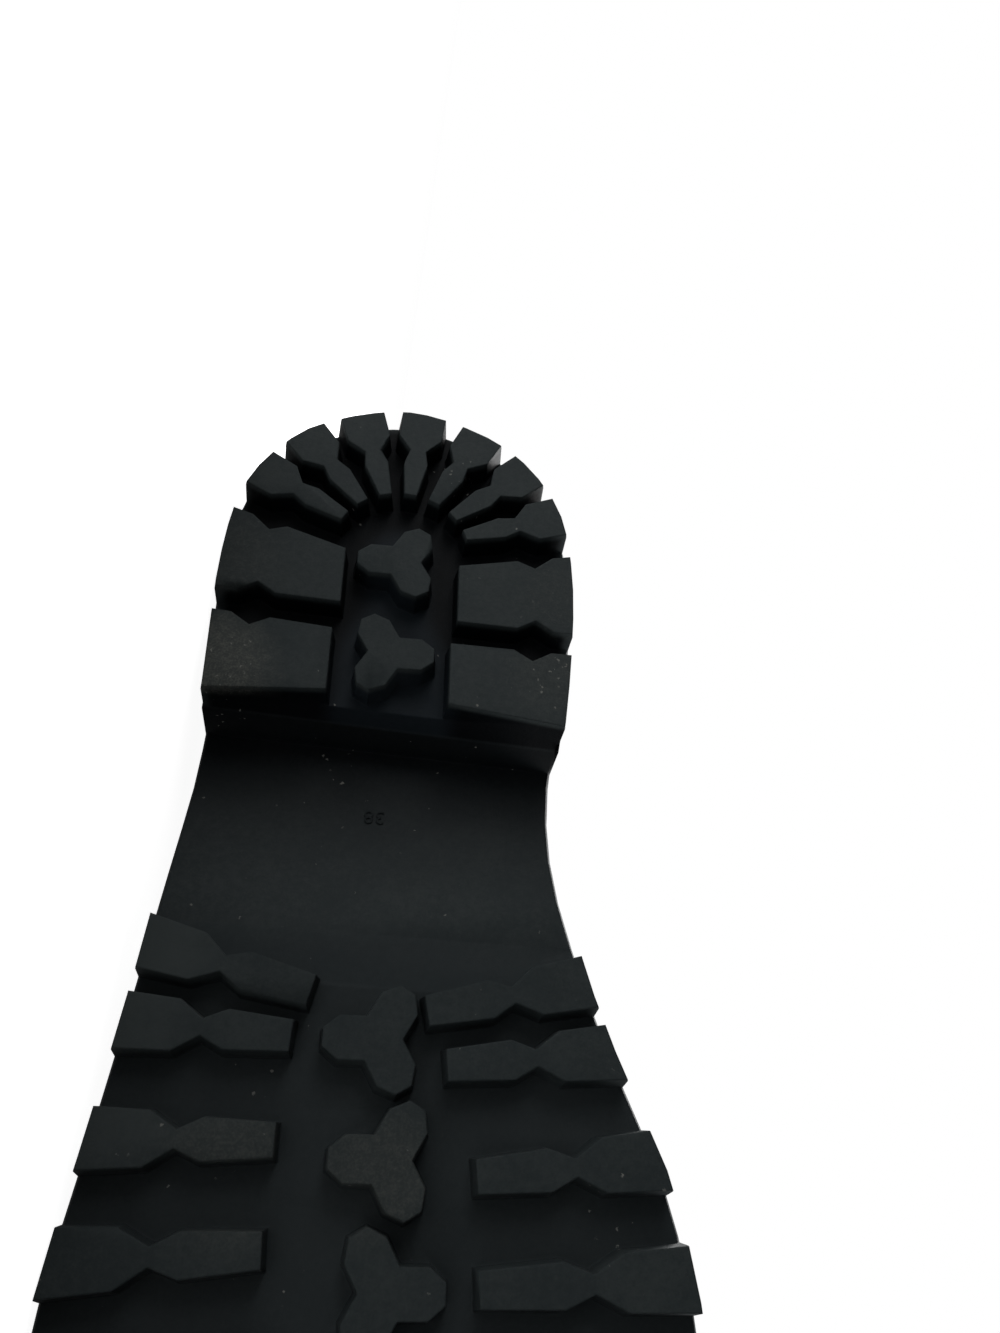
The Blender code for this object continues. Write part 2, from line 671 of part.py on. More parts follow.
def make_overlay(name, parts, shape, room):
    """Leather laid on the upper: its outer face moved out by the gap, given a wall and cut to shape."""
    overlay = upper_surface(name, parts)
    sheet = bmesh.new()
    sheet.from_mesh(overlay.data)
    moves = [v.normal * OVERLAY_GAP * MM * min(LARGEST_CORNER, v.calc_shell_factor()) for v in sheet.verts]
    for vertex, move in zip(sheet.verts, moves):
        vertex.co += move
    sheet.to_mesh(overlay.data)
    sheet.free()
    add_wall(overlay, OVERLAY_WALL, 1.0)
    add_boolean(overlay, shape, "INTERSECT")
    if room:
        add_boolean(overlay, room, "DIFFERENCE")
    return overlay


def counter_edge(y):
    """Height of the heel counter's upper edge: level at the back, then down to the waist."""
    level = 0.10 * SOLE_LENGTH
    ahead = min(1.0, max(0.0, (y - level) / (COUNTER_REACH - level)))
    return COUNTER_HEIGHT - (COUNTER_HEIGHT - HEEL_HEIGHT) * ahead ** COUNTER_FALL


def make_heel_counter(parts, cutters, room):
    """Overlay round the heel."""
    reach = [CUT_BACK] + [COUNTER_REACH * k / 12 for k in range(13)]
    points = [(CUT_BACK, 0.0), (COUNTER_REACH, 0.0)] + [(y, counter_edge(y)) for y in reversed(reach)]
    shape = side_prism("counter_room", points, BALL_WIDTH, cutters)
    return make_overlay("heel_counter", parts, shape, room)


def band_line(y, drop):
    """Height of a line parallel to the collar, a drop below it."""
    back_y, front_y = LEG_SECTIONS[-1][1] * SOLE_LENGTH, LEG_SECTIONS[-1][3] * SOLE_LENGTH
    return COLLAR_BACK + (COLLAR_FRONT - COLLAR_BACK) * (y - back_y) / (front_y - back_y) - drop


def make_back_strip(parts, cutters):
    """Strip over the back seam, from the counter to the collar band."""
    low = COUNTER_HEIGHT + GAP
    high = [band_line(y, BAND_HEIGHT + GAP) for y in (CUT_BACK, STRIP_REACH)]
    points = [(CUT_BACK, low), (STRIP_REACH, low), (STRIP_REACH, high[1]), (CUT_BACK, high[0])]
    shape = side_prism("strip_room", points, 0.5 * STRIP_WIDTH, cutters)
    return make_overlay("back_strip", parts, shape, None)


def make_collar_band(parts, cutters):
    """Band round the top of the shaft."""
    low = [band_line(y, BAND_HEIGHT) for y in (CUT_BACK, CUT_FRONT)]
    high = [band_line(y, -CUT_MARGIN) for y in (CUT_BACK, CUT_FRONT)]
    points = [(CUT_BACK, low[0]), (CUT_FRONT, low[1]), (CUT_FRONT, high[1]), (CUT_BACK, high[0])]
    shape = side_prism("band_room", points, BALL_WIDTH, cutters)
    return make_overlay("collar_band", parts, shape, None)


def make_insole(parts):
    """Board inside the upper, on the sole."""
    inset = LEDGE + WALL + 3.0 * GAP
    return ring_solid("insole", (
        (inset + INSOLE_ROUND, lambda y, x: sole_top(y) + GAP),
        (inset, lambda y, x: sole_top(y) + GAP + INSOLE_ROUND),
        (inset, lambda y, x: sole_top(y) + GAP + INSOLE_THICKNESS - INSOLE_ROUND),
        (inset + INSOLE_ROUND, lambda y, x: sole_top(y) + GAP + INSOLE_THICKNESS),
    ), parts)


def add_finish(obj):
    """The piece's own material."""
    colour, roughness = FINISHES[obj.name]
    material = bpy.data.materials.new(obj.name)
    material.use_nodes = True
    shader = material.node_tree.nodes["Principled BSDF"]
    shader.inputs["Base Color"].default_value = (*colour, 1.0)
    shader.inputs["Roughness"].default_value = roughness
    shader.inputs["Metallic"].default_value = 0.0
    obj.data.materials.clear()
    obj.data.materials.append(material)


def lying_matrix(parts):
    """Turn and place that lay the boot on its outer side, on the flat that its hull rests on."""
    bpy.context.view_layer.update()
    depsgraph = bpy.context.evaluated_depsgraph_get()
    hull = bmesh.new()
    for obj in parts.objects:
        for vertex in obj.evaluated_get(depsgraph).data.vertices:
            hull.verts.new(vertex.co)
    corners = [v.co.copy() for v in hull.verts]
    middle = sum(corners, Vector()) / len(corners)
    bmesh.ops.convex_hull(hull, input=hull.verts)
    rest = None
    for face in hull.faces:
        face.normal_update()
        if face.normal.x > SIDE_FACING:
            continue
        hit = middle + face.normal * face.normal.dot(face.verts[0].co - middle)
        if bmesh.geometry.intersect_face_point(face, hit):
            rest = face.normal.copy()
    hull.free()
    up = -rest
    ahead = (Vector((0.0, 1.0, 0.0)) - up * up.y).normalized()
    turn = Matrix((ahead, up.cross(ahead), up))
    placed = [turn @ c for c in corners]
    low = Vector([min(p[k] for p in placed) for k in range(3)])
    high = Vector([max(p[k] for p in placed) for k in range(3)])
    shift = Matrix.Translation((-0.5 * (low.x + high.x), -0.5 * (low.y + high.y), -low.z))
    return shift @ turn.to_4x4()


def main():
    """Model every piece, give it its finish and lay the boot down."""
    for old in list(bpy.data.objects):
        bpy.data.objects.remove(old, do_unlink=True)
    parts = bpy.data.collections.new("knee_boot")
    cutters = bpy.data.collections.new("cutters")
    for collection in (parts, cutters):
        bpy.context.scene.collection.children.link(collection)
    make_outsole(parts, cutters)
    room = sole_room(cutters)
    make_insole(parts)
    make_upper(parts, room)
    make_heel_counter(parts, cutters, room)
    make_back_strip(parts, cutters)
    make_collar_band(parts, cutters)
    for obj in parts.objects:
        add_finish(obj)
        obj.data.shade_smooth()
        obj.data.set_sharp_from_angle(angle=math.radians(SHARP_ANGLE))
    for cutter in cutters.objects:
        cutter.hide_render = True
        cutter.display_type = "WIRE"
    rest = bpy.data.objects.new("boot_axes", None)
    bpy.context.scene.collection.objects.link(rest)
    rest.matrix_world = lying_matrix(parts)
    bpy.context.view_layer.update()
    for obj in list(parts.objects) + list(cutters.objects):
        obj.parent = rest
    bpy.context.view_layer.update()


main()
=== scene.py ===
# %% [markdown]
# # A knee-high boot with a deep lug sole
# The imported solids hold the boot's true form, and this lesson dresses them. The sole is what the
# picture shows, so it gets the most care, and leather, seams and lining are then finished to match.
# Loading the frame first gives every later piece one shared place, in metres.

# %% Load the frame
import json
import math

import bmesh
import bpy
import numpy as np
from mathutils import Matrix, Vector
from mathutils.bvhtree import BVHTree


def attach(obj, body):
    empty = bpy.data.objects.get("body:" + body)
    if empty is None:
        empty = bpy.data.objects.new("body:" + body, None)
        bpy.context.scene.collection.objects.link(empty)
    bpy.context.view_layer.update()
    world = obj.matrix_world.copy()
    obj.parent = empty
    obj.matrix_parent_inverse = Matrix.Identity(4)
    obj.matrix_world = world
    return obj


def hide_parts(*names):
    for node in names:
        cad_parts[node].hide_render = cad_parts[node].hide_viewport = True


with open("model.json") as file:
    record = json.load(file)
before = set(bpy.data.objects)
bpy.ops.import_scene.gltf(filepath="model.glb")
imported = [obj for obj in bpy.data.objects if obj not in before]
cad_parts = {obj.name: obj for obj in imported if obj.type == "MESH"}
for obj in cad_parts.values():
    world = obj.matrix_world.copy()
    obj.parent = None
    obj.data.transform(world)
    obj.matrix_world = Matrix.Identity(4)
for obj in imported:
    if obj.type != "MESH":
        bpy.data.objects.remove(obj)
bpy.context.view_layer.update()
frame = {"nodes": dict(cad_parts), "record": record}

MM = 0.001
print("solids:", sorted(frame["nodes"]))

# %% [markdown]
# ## The boot's own axes
# The boot lies on its outer side, but a shoemaker measures it standing. Its two flat tread mounts give
# those axes back: X to the inner side, Y to the toe, Z up from the tread, in millimetres, with Y = 0 at
# the back of the heel. Every size below is written in these axes and turned into the room's once.

# %% Axes from the two treads
TREAD_SPOT = (-34.0, 68.0)
mounts = {m["name"]: m for m in frame["record"]["mounts"]}
heel_spot = Vector(mounts["heel_tread"]["pos_m"])
fore_spot = Vector(mounts["forefoot_tread"]["pos_m"])
boot_up = -Vector(mounts["heel_tread"]["axis"]).normalized()
boot_toe = (fore_spot - heel_spot).normalized()
boot_inner = boot_toe.cross(boot_up)
boot_start = heel_spot - MM * (TREAD_SPOT[0] * boot_inner + TREAD_SPOT[1] * boot_toe)
BOOT = Matrix.Translation(boot_start) @ Matrix((boot_inner, boot_toe, boot_up)).transposed().to_4x4()
TO_ROOM = np.array(BOOT @ Matrix.Scale(MM, 4))
TO_BOOT = np.linalg.inv(TO_ROOM)


def room(point):
    """A point of the boot's axes, in metres of the room."""
    return BOOT @ (Vector(point) * MM)


def boot_place(point):
    """A point of the room, in the boot's axes."""
    return (TO_BOOT @ np.array((*point, 1.0)))[:3]


def boot_points(obj):
    """All points of a mesh in the boot's axes."""
    flat = np.empty(3 * len(obj.data.vertices))
    obj.data.vertices.foreach_get("co", flat)
    return flat.reshape(-1, 3) @ TO_BOOT[:3, :3].T + TO_BOOT[:3, 3]


def place_points(obj, points):
    """Put a mesh's points where they are given in the boot's axes."""
    flat = np.asarray(points) @ TO_ROOM[:3, :3].T + TO_ROOM[:3, 3]
    obj.data.vertices.foreach_set("co", flat.ravel())
    obj.data.update()


print("toe", [round(v, 3) for v in boot_toe], "up", [round(v, 3) for v in boot_up])

# %% [markdown]
# ## Camera
# The picture looks up at the sole from below the arch, with the heel at its top. The camera could be
# turned with three angles, but three places are easier to read: where it stands, what it looks at, and
# which way the picture's top points. It keeps the picture's angle and stays above the floor.

# %% Camera
CAMERA_PLACE = (-3.7, 173.0, -188.0)
CAMERA_AIM = (22.15, 67.5, 0.0)
PICTURE_TOP = (-0.0769, -0.8739, -0.4799)
LENS = 28.09
SENSOR = 36.0
NEAREST_SEEN = 0.005

lens = bpy.data.cameras.new("camera")
lens.lens = LENS
lens.sensor_width = SENSOR
lens.sensor_fit = "AUTO"
lens.clip_start = NEAREST_SEEN
camera = bpy.data.objects.new("camera", lens)
bpy.context.scene.collection.objects.link(camera)
look = (room(CAMERA_AIM) - room(CAMERA_PLACE)).normalized()
top = (BOOT.to_3x3() @ Vector(PICTURE_TOP)).normalized()
right = look.cross(top).normalized()
top = right.cross(look)
camera_axes = Matrix((right, top, -look)).transposed().to_4x4()
camera.matrix_world = Matrix.Translation(room(CAMERA_PLACE)) @ camera_axes
bpy.context.scene.camera = camera
print("camera is", round(camera.matrix_world.translation.z / MM), "mm above the floor")

# %% [markdown]
# ## Modelling helpers
# Operators act on whatever is selected, so each step starts by selecting one object alone. A packed
# solid is never changed: a piece that dresses it starts from a merged copy, because the solid's own
# mesh is loose triangles.

# %% Modelling helpers
MERGE_WITHIN = 0.000002


def alone(obj):
    """Deselect everything, then select and activate one object."""
    bpy.ops.object.select_all(action="DESELECT")
    obj.select_set(True)
    bpy.context.view_layer.objects.active = obj


def apply_all(obj):
    """Apply every modifier in turn."""
    alone(obj)
    for name in [m.name for m in obj.modifiers]:
        bpy.ops.object.modifier_apply(modifier=name)


def settle(obj):
    """Apply place, turn and scale, so that the object sits at the origin."""
    alone(obj)
    bpy.ops.object.transform_apply(location=True, rotation=True, scale=True)


def merged_copy(node, name):
    """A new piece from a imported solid, with its loose triangles joined up."""
    obj = bpy.data.objects.new(name, frame["nodes"][node].data.copy())
    bpy.context.scene.collection.objects.link(obj)
    obj.data.materials.clear()
    alone(obj)
    bpy.ops.object.mode_set(mode="EDIT")
    bpy.ops.mesh.select_all(action="SELECT")
    bpy.ops.mesh.remove_doubles(threshold=MERGE_WITHIN)
    bpy.ops.object.mode_set(mode="OBJECT")
    return obj


def tell(obj):
    """Print a piece's name and size."""
    print(f"{obj.name}: {len(obj.data.polygons)} faces")


def give(obj, *finishes):
    """Finish a piece with its materials and let it ride on the boot's one body."""
    obj.data.materials.clear()
    for finish in finishes:
        obj.data.materials.append(finish.material)
    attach(obj, "root")


print("modelling helpers ready")

# %% [markdown]
# ## Floor and light
# The background is plain white, so the floor and the world are pale. Both look white to the camera but
# light the boot only softly, which leaves the shadows between the lugs deep. A soft panel behind the
# heel is the main light, and two wide ones show the leather from the other sides.

# %% Floor and world
FLOOR_SIDE = 6.0
FLOOR_GREY = 0.80
FLOOR_GLOW = 0.16
FLOOR_SEEN = 0.94
FLOOR_ROUGHNESS = 0.9
WORLD_LIGHT = 0.06
WORLD_SEEN = 1.0
WHITE = (1.0, 1.0, 1.0, 1.0)

bpy.ops.object.select_all(action="DESELECT")
bpy.ops.mesh.primitive_plane_add(size=FLOOR_SIDE, location=(0.0, 0.0, 0.0))
floor = bpy.context.object
floor.name = "floor"
floor_paint = bpy.data.materials.new("floor_paint")
floor_paint.use_nodes = True
floor_shader = floor_paint.node_tree.nodes["Principled BSDF"]
floor_shader.inputs["Base Color"].default_value = (FLOOR_GREY, FLOOR_GREY, FLOOR_GREY, 1.0)
floor_shader.inputs["Roughness"].default_value = FLOOR_ROUGHNESS
floor_shader.inputs["Emission Color"].default_value = WHITE
floor.data.materials.append(floor_paint)

world = bpy.data.worlds.new("studio")
bpy.context.scene.world = world
world.use_nodes = True
world_shader = world.node_tree.nodes["Background"]
world_shader.inputs["Color"].default_value = WHITE


def white_to_the_eye(tree, socket, light, seen):
    """Let a glow look white in the picture while it lights the boot only softly."""
    path = tree.nodes.new("ShaderNodeLightPath")
    blend = tree.nodes.new("ShaderNodeMix")
    blend.data_type = "FLOAT"
    blend.inputs[2].default_value = light
    blend.inputs[3].default_value = seen
    tree.links.new(path.outputs["Is Camera Ray"], blend.inputs[0])
    tree.links.new(blend.outputs[0], socket)


floor_strength = floor_shader.inputs["Emission Strength"]
white_to_the_eye(floor_paint.node_tree, floor_strength, FLOOR_GLOW, FLOOR_SEEN)
white_to_the_eye(world.node_tree, world_shader.inputs["Strength"], WORLD_LIGHT, WORLD_SEEN)
print("floor side:", FLOOR_SIDE, "m")

# %% Light panels
def panel_light(name, place, aim, size, power):
    """A square soft panel at a place of the boot's axes, facing another."""
    data = bpy.data.lights.new(name, "AREA")
    data.size = size * MM
    data.energy = power
    obj = bpy.data.objects.new(name, data)
    bpy.context.scene.collection.objects.link(obj)
    obj.location = room(place)
    obj.rotation_euler = (room(aim) - room(place)).to_track_quat("-Z", "Y").to_euler()


# Lights: place, aim, side of the panel, power.
LIGHTS = (
    ("heel_panel", (0.0, -360.0, -440.0), (0.0, 90.0, 0.0), 420.0, 3.3),
    ("shaft_panel", (650.0, -250.0, 500.0), (0.0, 80.0, 200.0), 700.0, 10.0),
    ("toe_panel", (500.0, 800.0, 250.0), (0.0, 120.0, 120.0), 600.0, 6.0),
)
for light in LIGHTS:
    panel_light(*light)
bpy.context.scene.view_settings.view_transform = "Standard"
print("lights:", len(LIGHTS))

# %% [markdown]
# ## Writing finishes as sums
# A finish is easier to read as an expression than as a web of nodes. `Value` wraps one socket, and each
# sum or product of it adds a Math node, so that a mask can be written as one minus another.

# %% Values that vary
class Value:
    """A number that varies over a surface."""

    def __init__(self, finish, socket):
        self.finish = finish
        self.socket = socket

    def math(self, operation, *terms):
        """Add one Math node and return what it gives."""
        node = self.finish.node("ShaderNodeMath", {"operation": operation}, dict(enumerate(terms)))
        return Value(self.finish, node.outputs[0])

    def __add__(self, other):
        return self.math("ADD", self, other)

    def __sub__(self, other):
        return self.math("SUBTRACT", self, other)

    def __rsub__(self, other):
        return self.math("SUBTRACT", other, self)

    def __mul__(self, other):
        return self.math("MULTIPLY", self, other)

    def __truediv__(self, other):
        return self.math("DIVIDE", self, other)

    def __pow__(self, other):
        return self.math("POWER", self, other)

    __radd__ = __add__
    __rmul__ = __mul__

    def wave(self):
        """Sine of the value."""
        return self.math("SINE", self)

    def least(self, other):
        """The smaller of two values."""
        return self.math("MINIMUM", self, other)

    def most(self, other):
        """The larger of two values."""
        return self.math("MAXIMUM", self, other)

    def rise(self, low, high):
        """Smooth step from 0 at low to 1 at high."""
        node = self.finish.node("ShaderNodeMapRange", {"interpolation_type": "SMOOTHSTEP"},
                                {"Value": self, "From Min": low, "From Max": high})
        return Value(self.finish, node.outputs["Result"])


print("value sums ready")

# %% [markdown]
# ## A maker of finishes
# `Finish` starts one material and makes any node that isn't a sum. It gives the boot's own millimetres
# to its patterns, so a grain of one millimetre is written as one, and a place on the sole is written
# as a shoemaker would measure it.

# %% Finish maker
SPOT_TORN = 0.35
SPOT_CORE = 0.35


class Finish:
    """A material made node by node."""

    def __init__(self, name, roughness, **fixed):
        self.material = bpy.data.materials.new(name)
        self.material.use_nodes = True
        self.tree = self.material.node_tree
        self.shader = self.tree.nodes["Principled BSDF"]
        self.shader.inputs["Roughness"].default_value = roughness
        for socket, value in fixed.items():
            self.socket(socket).default_value = value
        turn = BOOT.to_3x3().inverted()
        self.boot = self.node("ShaderNodeMapping", {"vector_type": "POINT"}, {
            "Vector": self.node("ShaderNodeTexCoord").outputs["Object"],
            "Location": turn @ boot_start * (-1.0 / MM),
            "Rotation": turn.to_euler(),
            "Scale": (1.0 / MM, 1.0 / MM, 1.0 / MM)}).outputs["Vector"]
        parts = self.node("ShaderNodeSeparateXYZ", {}, {0: self.boot})
        self.x, self.y, self.z = (Value(self, socket) for socket in parts.outputs)

    def socket(self, word):
        """The shader's own socket for a plain word such as base_color."""
        return next(i for i in self.shader.inputs if i.name.lower().replace(" ", "_") == word)

    def node(self, kind, settings=None, inputs=None):
        """Add a node, set its settings, then fill or link its sockets."""
        node = self.tree.nodes.new(kind)
        for name, value in (settings or {}).items():
            setattr(node, name, value)
        for name, value in (inputs or {}).items():
            if isinstance(value, Value):
                value = value.socket
            if isinstance(value, bpy.types.NodeSocket):
                self.tree.links.new(value, node.inputs[name])
            else:
                node.inputs[name].default_value = value
        return node

    def stretched(self, x, y, z):
        """The boot's axes with each stretched, for a pattern that runs one way."""
        return self.node("ShaderNodeVectorMath", {"operation": "MULTIPLY"}, {
            0: self.boot, 1: (x, y, z)}).outputs[0]

    def noise(self, grain, detail=3.0, roughness=0.55, vector=None):
        """Cloudy pattern with patches of a size in millimetres."""
        node = self.node("ShaderNodeTexNoise", {"noise_dimensions": "3D"}, {
            "Vector": vector or self.boot, "Scale": 1.0 / grain,
            "Detail": detail, "Roughness": roughness})
        return Value(self, node.outputs["Fac"])

    def cells(self, grain, vector):
        """Distance from the middle of cells of a size in millimetres, and each cell's own tint."""
        node = self.node("ShaderNodeTexVoronoi", {"feature": "F1"}, {
            "Vector": vector, "Scale": 1.0 / grain})
        return Value(self, node.outputs["Distance"]), node.outputs["Color"]

    def red(self, tint):
        """The red share of a colour, as a number."""
        return Value(self, self.node("ShaderNodeSeparateColor", {}, {0: tint}).outputs[0])

    def cracks(self, grain, vector):
        """Distance from the nearest edge between cells of a size in millimetres."""
        node = self.node("ShaderNodeTexVoronoi", {"feature": "DISTANCE_TO_EDGE"}, {
            "Vector": vector, "Scale": 1.0 / grain})
        return Value(self, node.outputs["Distance"])

    def ragged(self, grain, reach):
        """The boot's axes shaken by noise, for cells with a torn outline."""
        shake = self.node("ShaderNodeTexNoise", {}, {
            "Vector": self.boot, "Scale": 1.0 / grain, "Detail": 2.0})
        scaled = self.node("ShaderNodeVectorMath", {"operation": "MULTIPLY"}, {
            0: shake.outputs["Color"], 1: (reach, reach, reach)})
        return self.node("ShaderNodeVectorMath", {"operation": "ADD"}, {
            0: self.boot, 1: scaled.outputs[0]}).outputs[0]

    def mix(self, share, low, high):
        """Colour between two colours."""
        node = self.node("ShaderNodeMix", {"data_type": "RGBA"})
        for index, value in ((0, share), (6, low), (7, high)):
            if isinstance(value, Value):
                value = value.socket
            if isinstance(value, bpy.types.NodeSocket):
                self.tree.links.new(value, node.inputs[index])
            else:
                node.inputs[index].default_value = (*value, 1.0) if isinstance(value, tuple) else value
        return node.outputs[2]

    def spots(self, rows):
        """Soft patches given one by one: x, y, radius and strength of each."""
        edge = (self.noise(3.0) - 0.5) * SPOT_TORN
        total = None
        for x, y, radius, strength in rows:
            gone = ((self.x - x) * (self.x - x) + (self.y - y) * (self.y - y)) ** 0.5 / radius + edge
            patch = (1.0 - gone.rise(SPOT_CORE, 1.0)) * strength
            total = patch if total is None else total.most(patch)
        return total

    def bump(self, height, distance, strength=1.0, normal=None):
        """Relief from a height, with a depth in millimetres."""
        inputs = {"Height": height, "Distance": distance * MM, "Strength": strength}
        if normal:
            inputs["Normal"] = normal
        return self.node("ShaderNodeBump", {}, inputs).outputs["Normal"]

    def use(self, **links):
        """Link values into the shader's own sockets."""
        for socket, value in links.items():
            value = value.socket if isinstance(value, Value) else value
            self.tree.links.new(value, self.socket(socket))


print("finish helpers ready")

# %% [markdown]
# ## Rubber
# A moulded sole is matt charcoal with a mottled tone. Painted shade darkens the hollows between the
# lugs, the waist in front of the heel and the forefoot plate, and painted light brightens the outer
# forefoot treads. Walked-on corners keep warm dust, and a few pale specks stick to it. One finish holds
# all of this as masks, and a Bevel node rounds every moulded edge for the light.

# %% Rubber finish
TREAD_COLOUR = (0.0170, 0.0215, 0.0228)
TREAD_PALE = (0.0255, 0.0305, 0.0310)
# Painted light: a paler tread colour where more light falls on the outer forefoot.
LIT_TREAD_COLOUR = (0.0330, 0.0390, 0.0395)
# Painted shade on the forefoot plate between the lugs.
PLATE_SHADE_COLOUR = (0.0150, 0.0185, 0.0200)
# Painted shade, dark blue-grey, on the wide plate in the middle of the heel.
CORE_SHADE_COLOUR = (0.0070, 0.0100, 0.0128)
# Painted shade, near-black, in the gaps between the heel's lugs and on the waist in front of the heel.
GAP_SHADE_COLOUR = (0.0008, 0.0015, 0.0022)
DUST_COLOUR = (0.0620, 0.0640, 0.0575)
SPECK_COLOUR = (0.135, 0.135, 0.125)
SPECK_GRAIN = 0.9
HEEL_CENTRE = 38.0
BREAST_SLANT = 0.059
CORE_FLARE = 6.0
# Soft edges of the masks, in millimetres: where each begins and where it is full.
# The heel's painted shade: its sides and front, its middle plate, and the height where it starts.
HEEL_SIDE = (35.4, 37.6)
HEEL_FRONT = (79.8, 80.6)
CORE_SIDE = (3.5, 9.5)
CORE_OPENS = (50.0, 68.0)
HOLLOW_FROM = (0.5, 2.2)
TREAD_TO = (1.0, 4.0)
# Painted shadow of the heel block on the waist: how it fades along the sole, and the height it starts.
WAIST_SHADOW_ALONG = (81.6, 120.0)
WAIST_SHADOW_FROM = (5.0, 7.0)
# Painted shade on the forefoot plate: where it starts along the sole, and its low and high edges.
PLATE_ALONG = (118.0, 128.0)
PLATE_FROM = (2.0, 4.6)
PLATE_TO = (5.6, 7.0)
MOULDED_EDGE = 0.55
# Patches of painted light on the outer forefoot treads: x, y, radius, strength.
LIT_TREAD_PATCHES = (
    (-44.0, 128.0, 24.0, 0.9),
    (-46.0, 148.0, 22.0, 0.7),
)
# Dust on the tread: x, y, radius, strength.
DUST = (
    (-37.0, 72.0, 17.0, 0.90),
    (-36.0, 46.0, 14.0, 0.22),
    (34.0, 68.0, 14.0, 0.22),
    (35.0, 48.0, 11.0, 0.18),
    (4.0, 163.0, 13.0, 0.38),
    (-20.0, 163.0, 15.0, 0.34),
)
# Grit caught in the tread: x, y, radius, strength.
GRIT = (
    (9.5, 15.5, 7.0, 1.0),
    (13.5, 27.0, 5.0, 0.7),
    (-8.0, 86.0, 9.0, 0.3),
    (38.0, 70.0, 11.0, 0.9),
    (-37.0, 72.0, 13.0, 0.9),
    (44.0, 168.0, 10.0, 0.4),
)


def rubber_finish():
    finish = Finish("sole_rubber", 0.62, specular_ior_level=0.06)
    cloud = finish.noise(14.0, 4.0)
    fine = finish.noise(1.3, 3.0)
    grain = finish.noise(0.45, 3.0)
    mottle = cloud * 0.45 + fine * 0.3 + grain * 0.25
    colour = finish.mix(mottle.rise(0.38, 0.66), TREAD_COLOUR, TREAD_PALE)
    behind = (finish.y - HEEL_CENTRE).least(0.0)
    from_middle = (finish.x * finish.x + behind * behind) ** 0.5
    along = finish.y - finish.x * BREAST_SLANT
    heel = 1.0 - along.rise(*HEEL_FRONT)
    # Masks of painted shade inside the heel, lighter on its middle plate.
    core = 1.0 - (from_middle - along.rise(*CORE_OPENS) * CORE_FLARE).rise(*CORE_SIDE)
    hollow = finish.z.rise(*HOLLOW_FROM) * heel * (1.0 - from_middle.rise(*HEEL_SIDE))
    # Painted shadow of the heel block on the waist, fading towards the toe.
    waist = (1.0 - along.rise(*WAIST_SHADOW_ALONG)) * (1.0 - heel) * finish.z.rise(*WAIST_SHADOW_FROM)
    # Painted shade on the recessed forefoot plate.
    plate = finish.z.rise(*PLATE_FROM) * finish.y.rise(*PLATE_ALONG) * (1.0 - finish.z.rise(*PLATE_TO))
    low = 1.0 - finish.z.rise(*TREAD_TO)
    # Painted light on the outer forefoot treads.
    colour = finish.mix(finish.spots(LIT_TREAD_PATCHES) * low, colour, LIT_TREAD_COLOUR)
    # Painted shade on the forefoot plate between the lugs.
    colour = finish.mix(plate * 0.7, colour, PLATE_SHADE_COLOUR)
    # Painted shadow on the waist in front of the heel.
    colour = finish.mix(waist * 0.85, colour, GAP_SHADE_COLOUR)
    # Painted shade inside the heel: near-black in the gaps, dark blue-grey on the middle plate.
    colour = finish.mix(hollow, colour, finish.mix(core, GAP_SHADE_COLOUR, CORE_SHADE_COLOUR))
    powder = (grain * 0.6 + fine * 0.4).rise(0.42, 0.66)
    dust = finish.spots(DUST) * low * (0.35 + powder * 0.65)
    colour = finish.mix(dust, colour, DUST_COLOUR)
    seeds, tint = finish.cells(SPECK_GRAIN, finish.ragged(0.5, 0.9))
    here = finish.spots(GRIT)
    wide = fine.rise(0.35, 0.65) * 0.22
    speck = (1.0 - (seeds - wide).rise(0.05, 0.22)) * (finish.red(tint) + here * 0.22).rise(0.99, 1.0)
    colour = finish.mix(speck * 0.7, colour, SPECK_COLOUR)
    rough = 0.60 + (cloud - 0.5) * 0.16 + dust * 0.15
    rounded = finish.node("ShaderNodeBevel", {"samples": 6}, {"Radius": MOULDED_EDGE * MM})
    relief = finish.bump(fine * 0.6 + grain * 0.4, 0.16, 0.6, rounded.outputs["Normal"])
    finish.use(base_color=colour, roughness=rough, normal=relief)
    return finish


rubber = rubber_finish()
print("rubber finish nodes:", len(rubber.tree.nodes))

# %% [markdown]
# ## Outsole
# The heel block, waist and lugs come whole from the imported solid. A mould never leaves a knife edge, so
# the treads' rims are beveled as real geometry on a merged copy: flat triangles are dissolved to whole
# faces first, or the bevel would cut across them.

# %% Outsole
RIM_ROUND = 0.45
RIM_ANGLE = math.radians(50.0)
RIM_NEAR = 0.08
FLAT_ANGLE = math.radians(0.6)
RUBBER_SMOOTH = math.radians(32.0)
SPRING_START = 199.5
SPRING_LENGTH = 85.5
TOE_SPRING = 11.0


def tread_height(y):
    """Height of the tread at a place along the sole."""
    return TOE_SPRING * (max(0.0, y - SPRING_START) / SPRING_LENGTH) ** 2


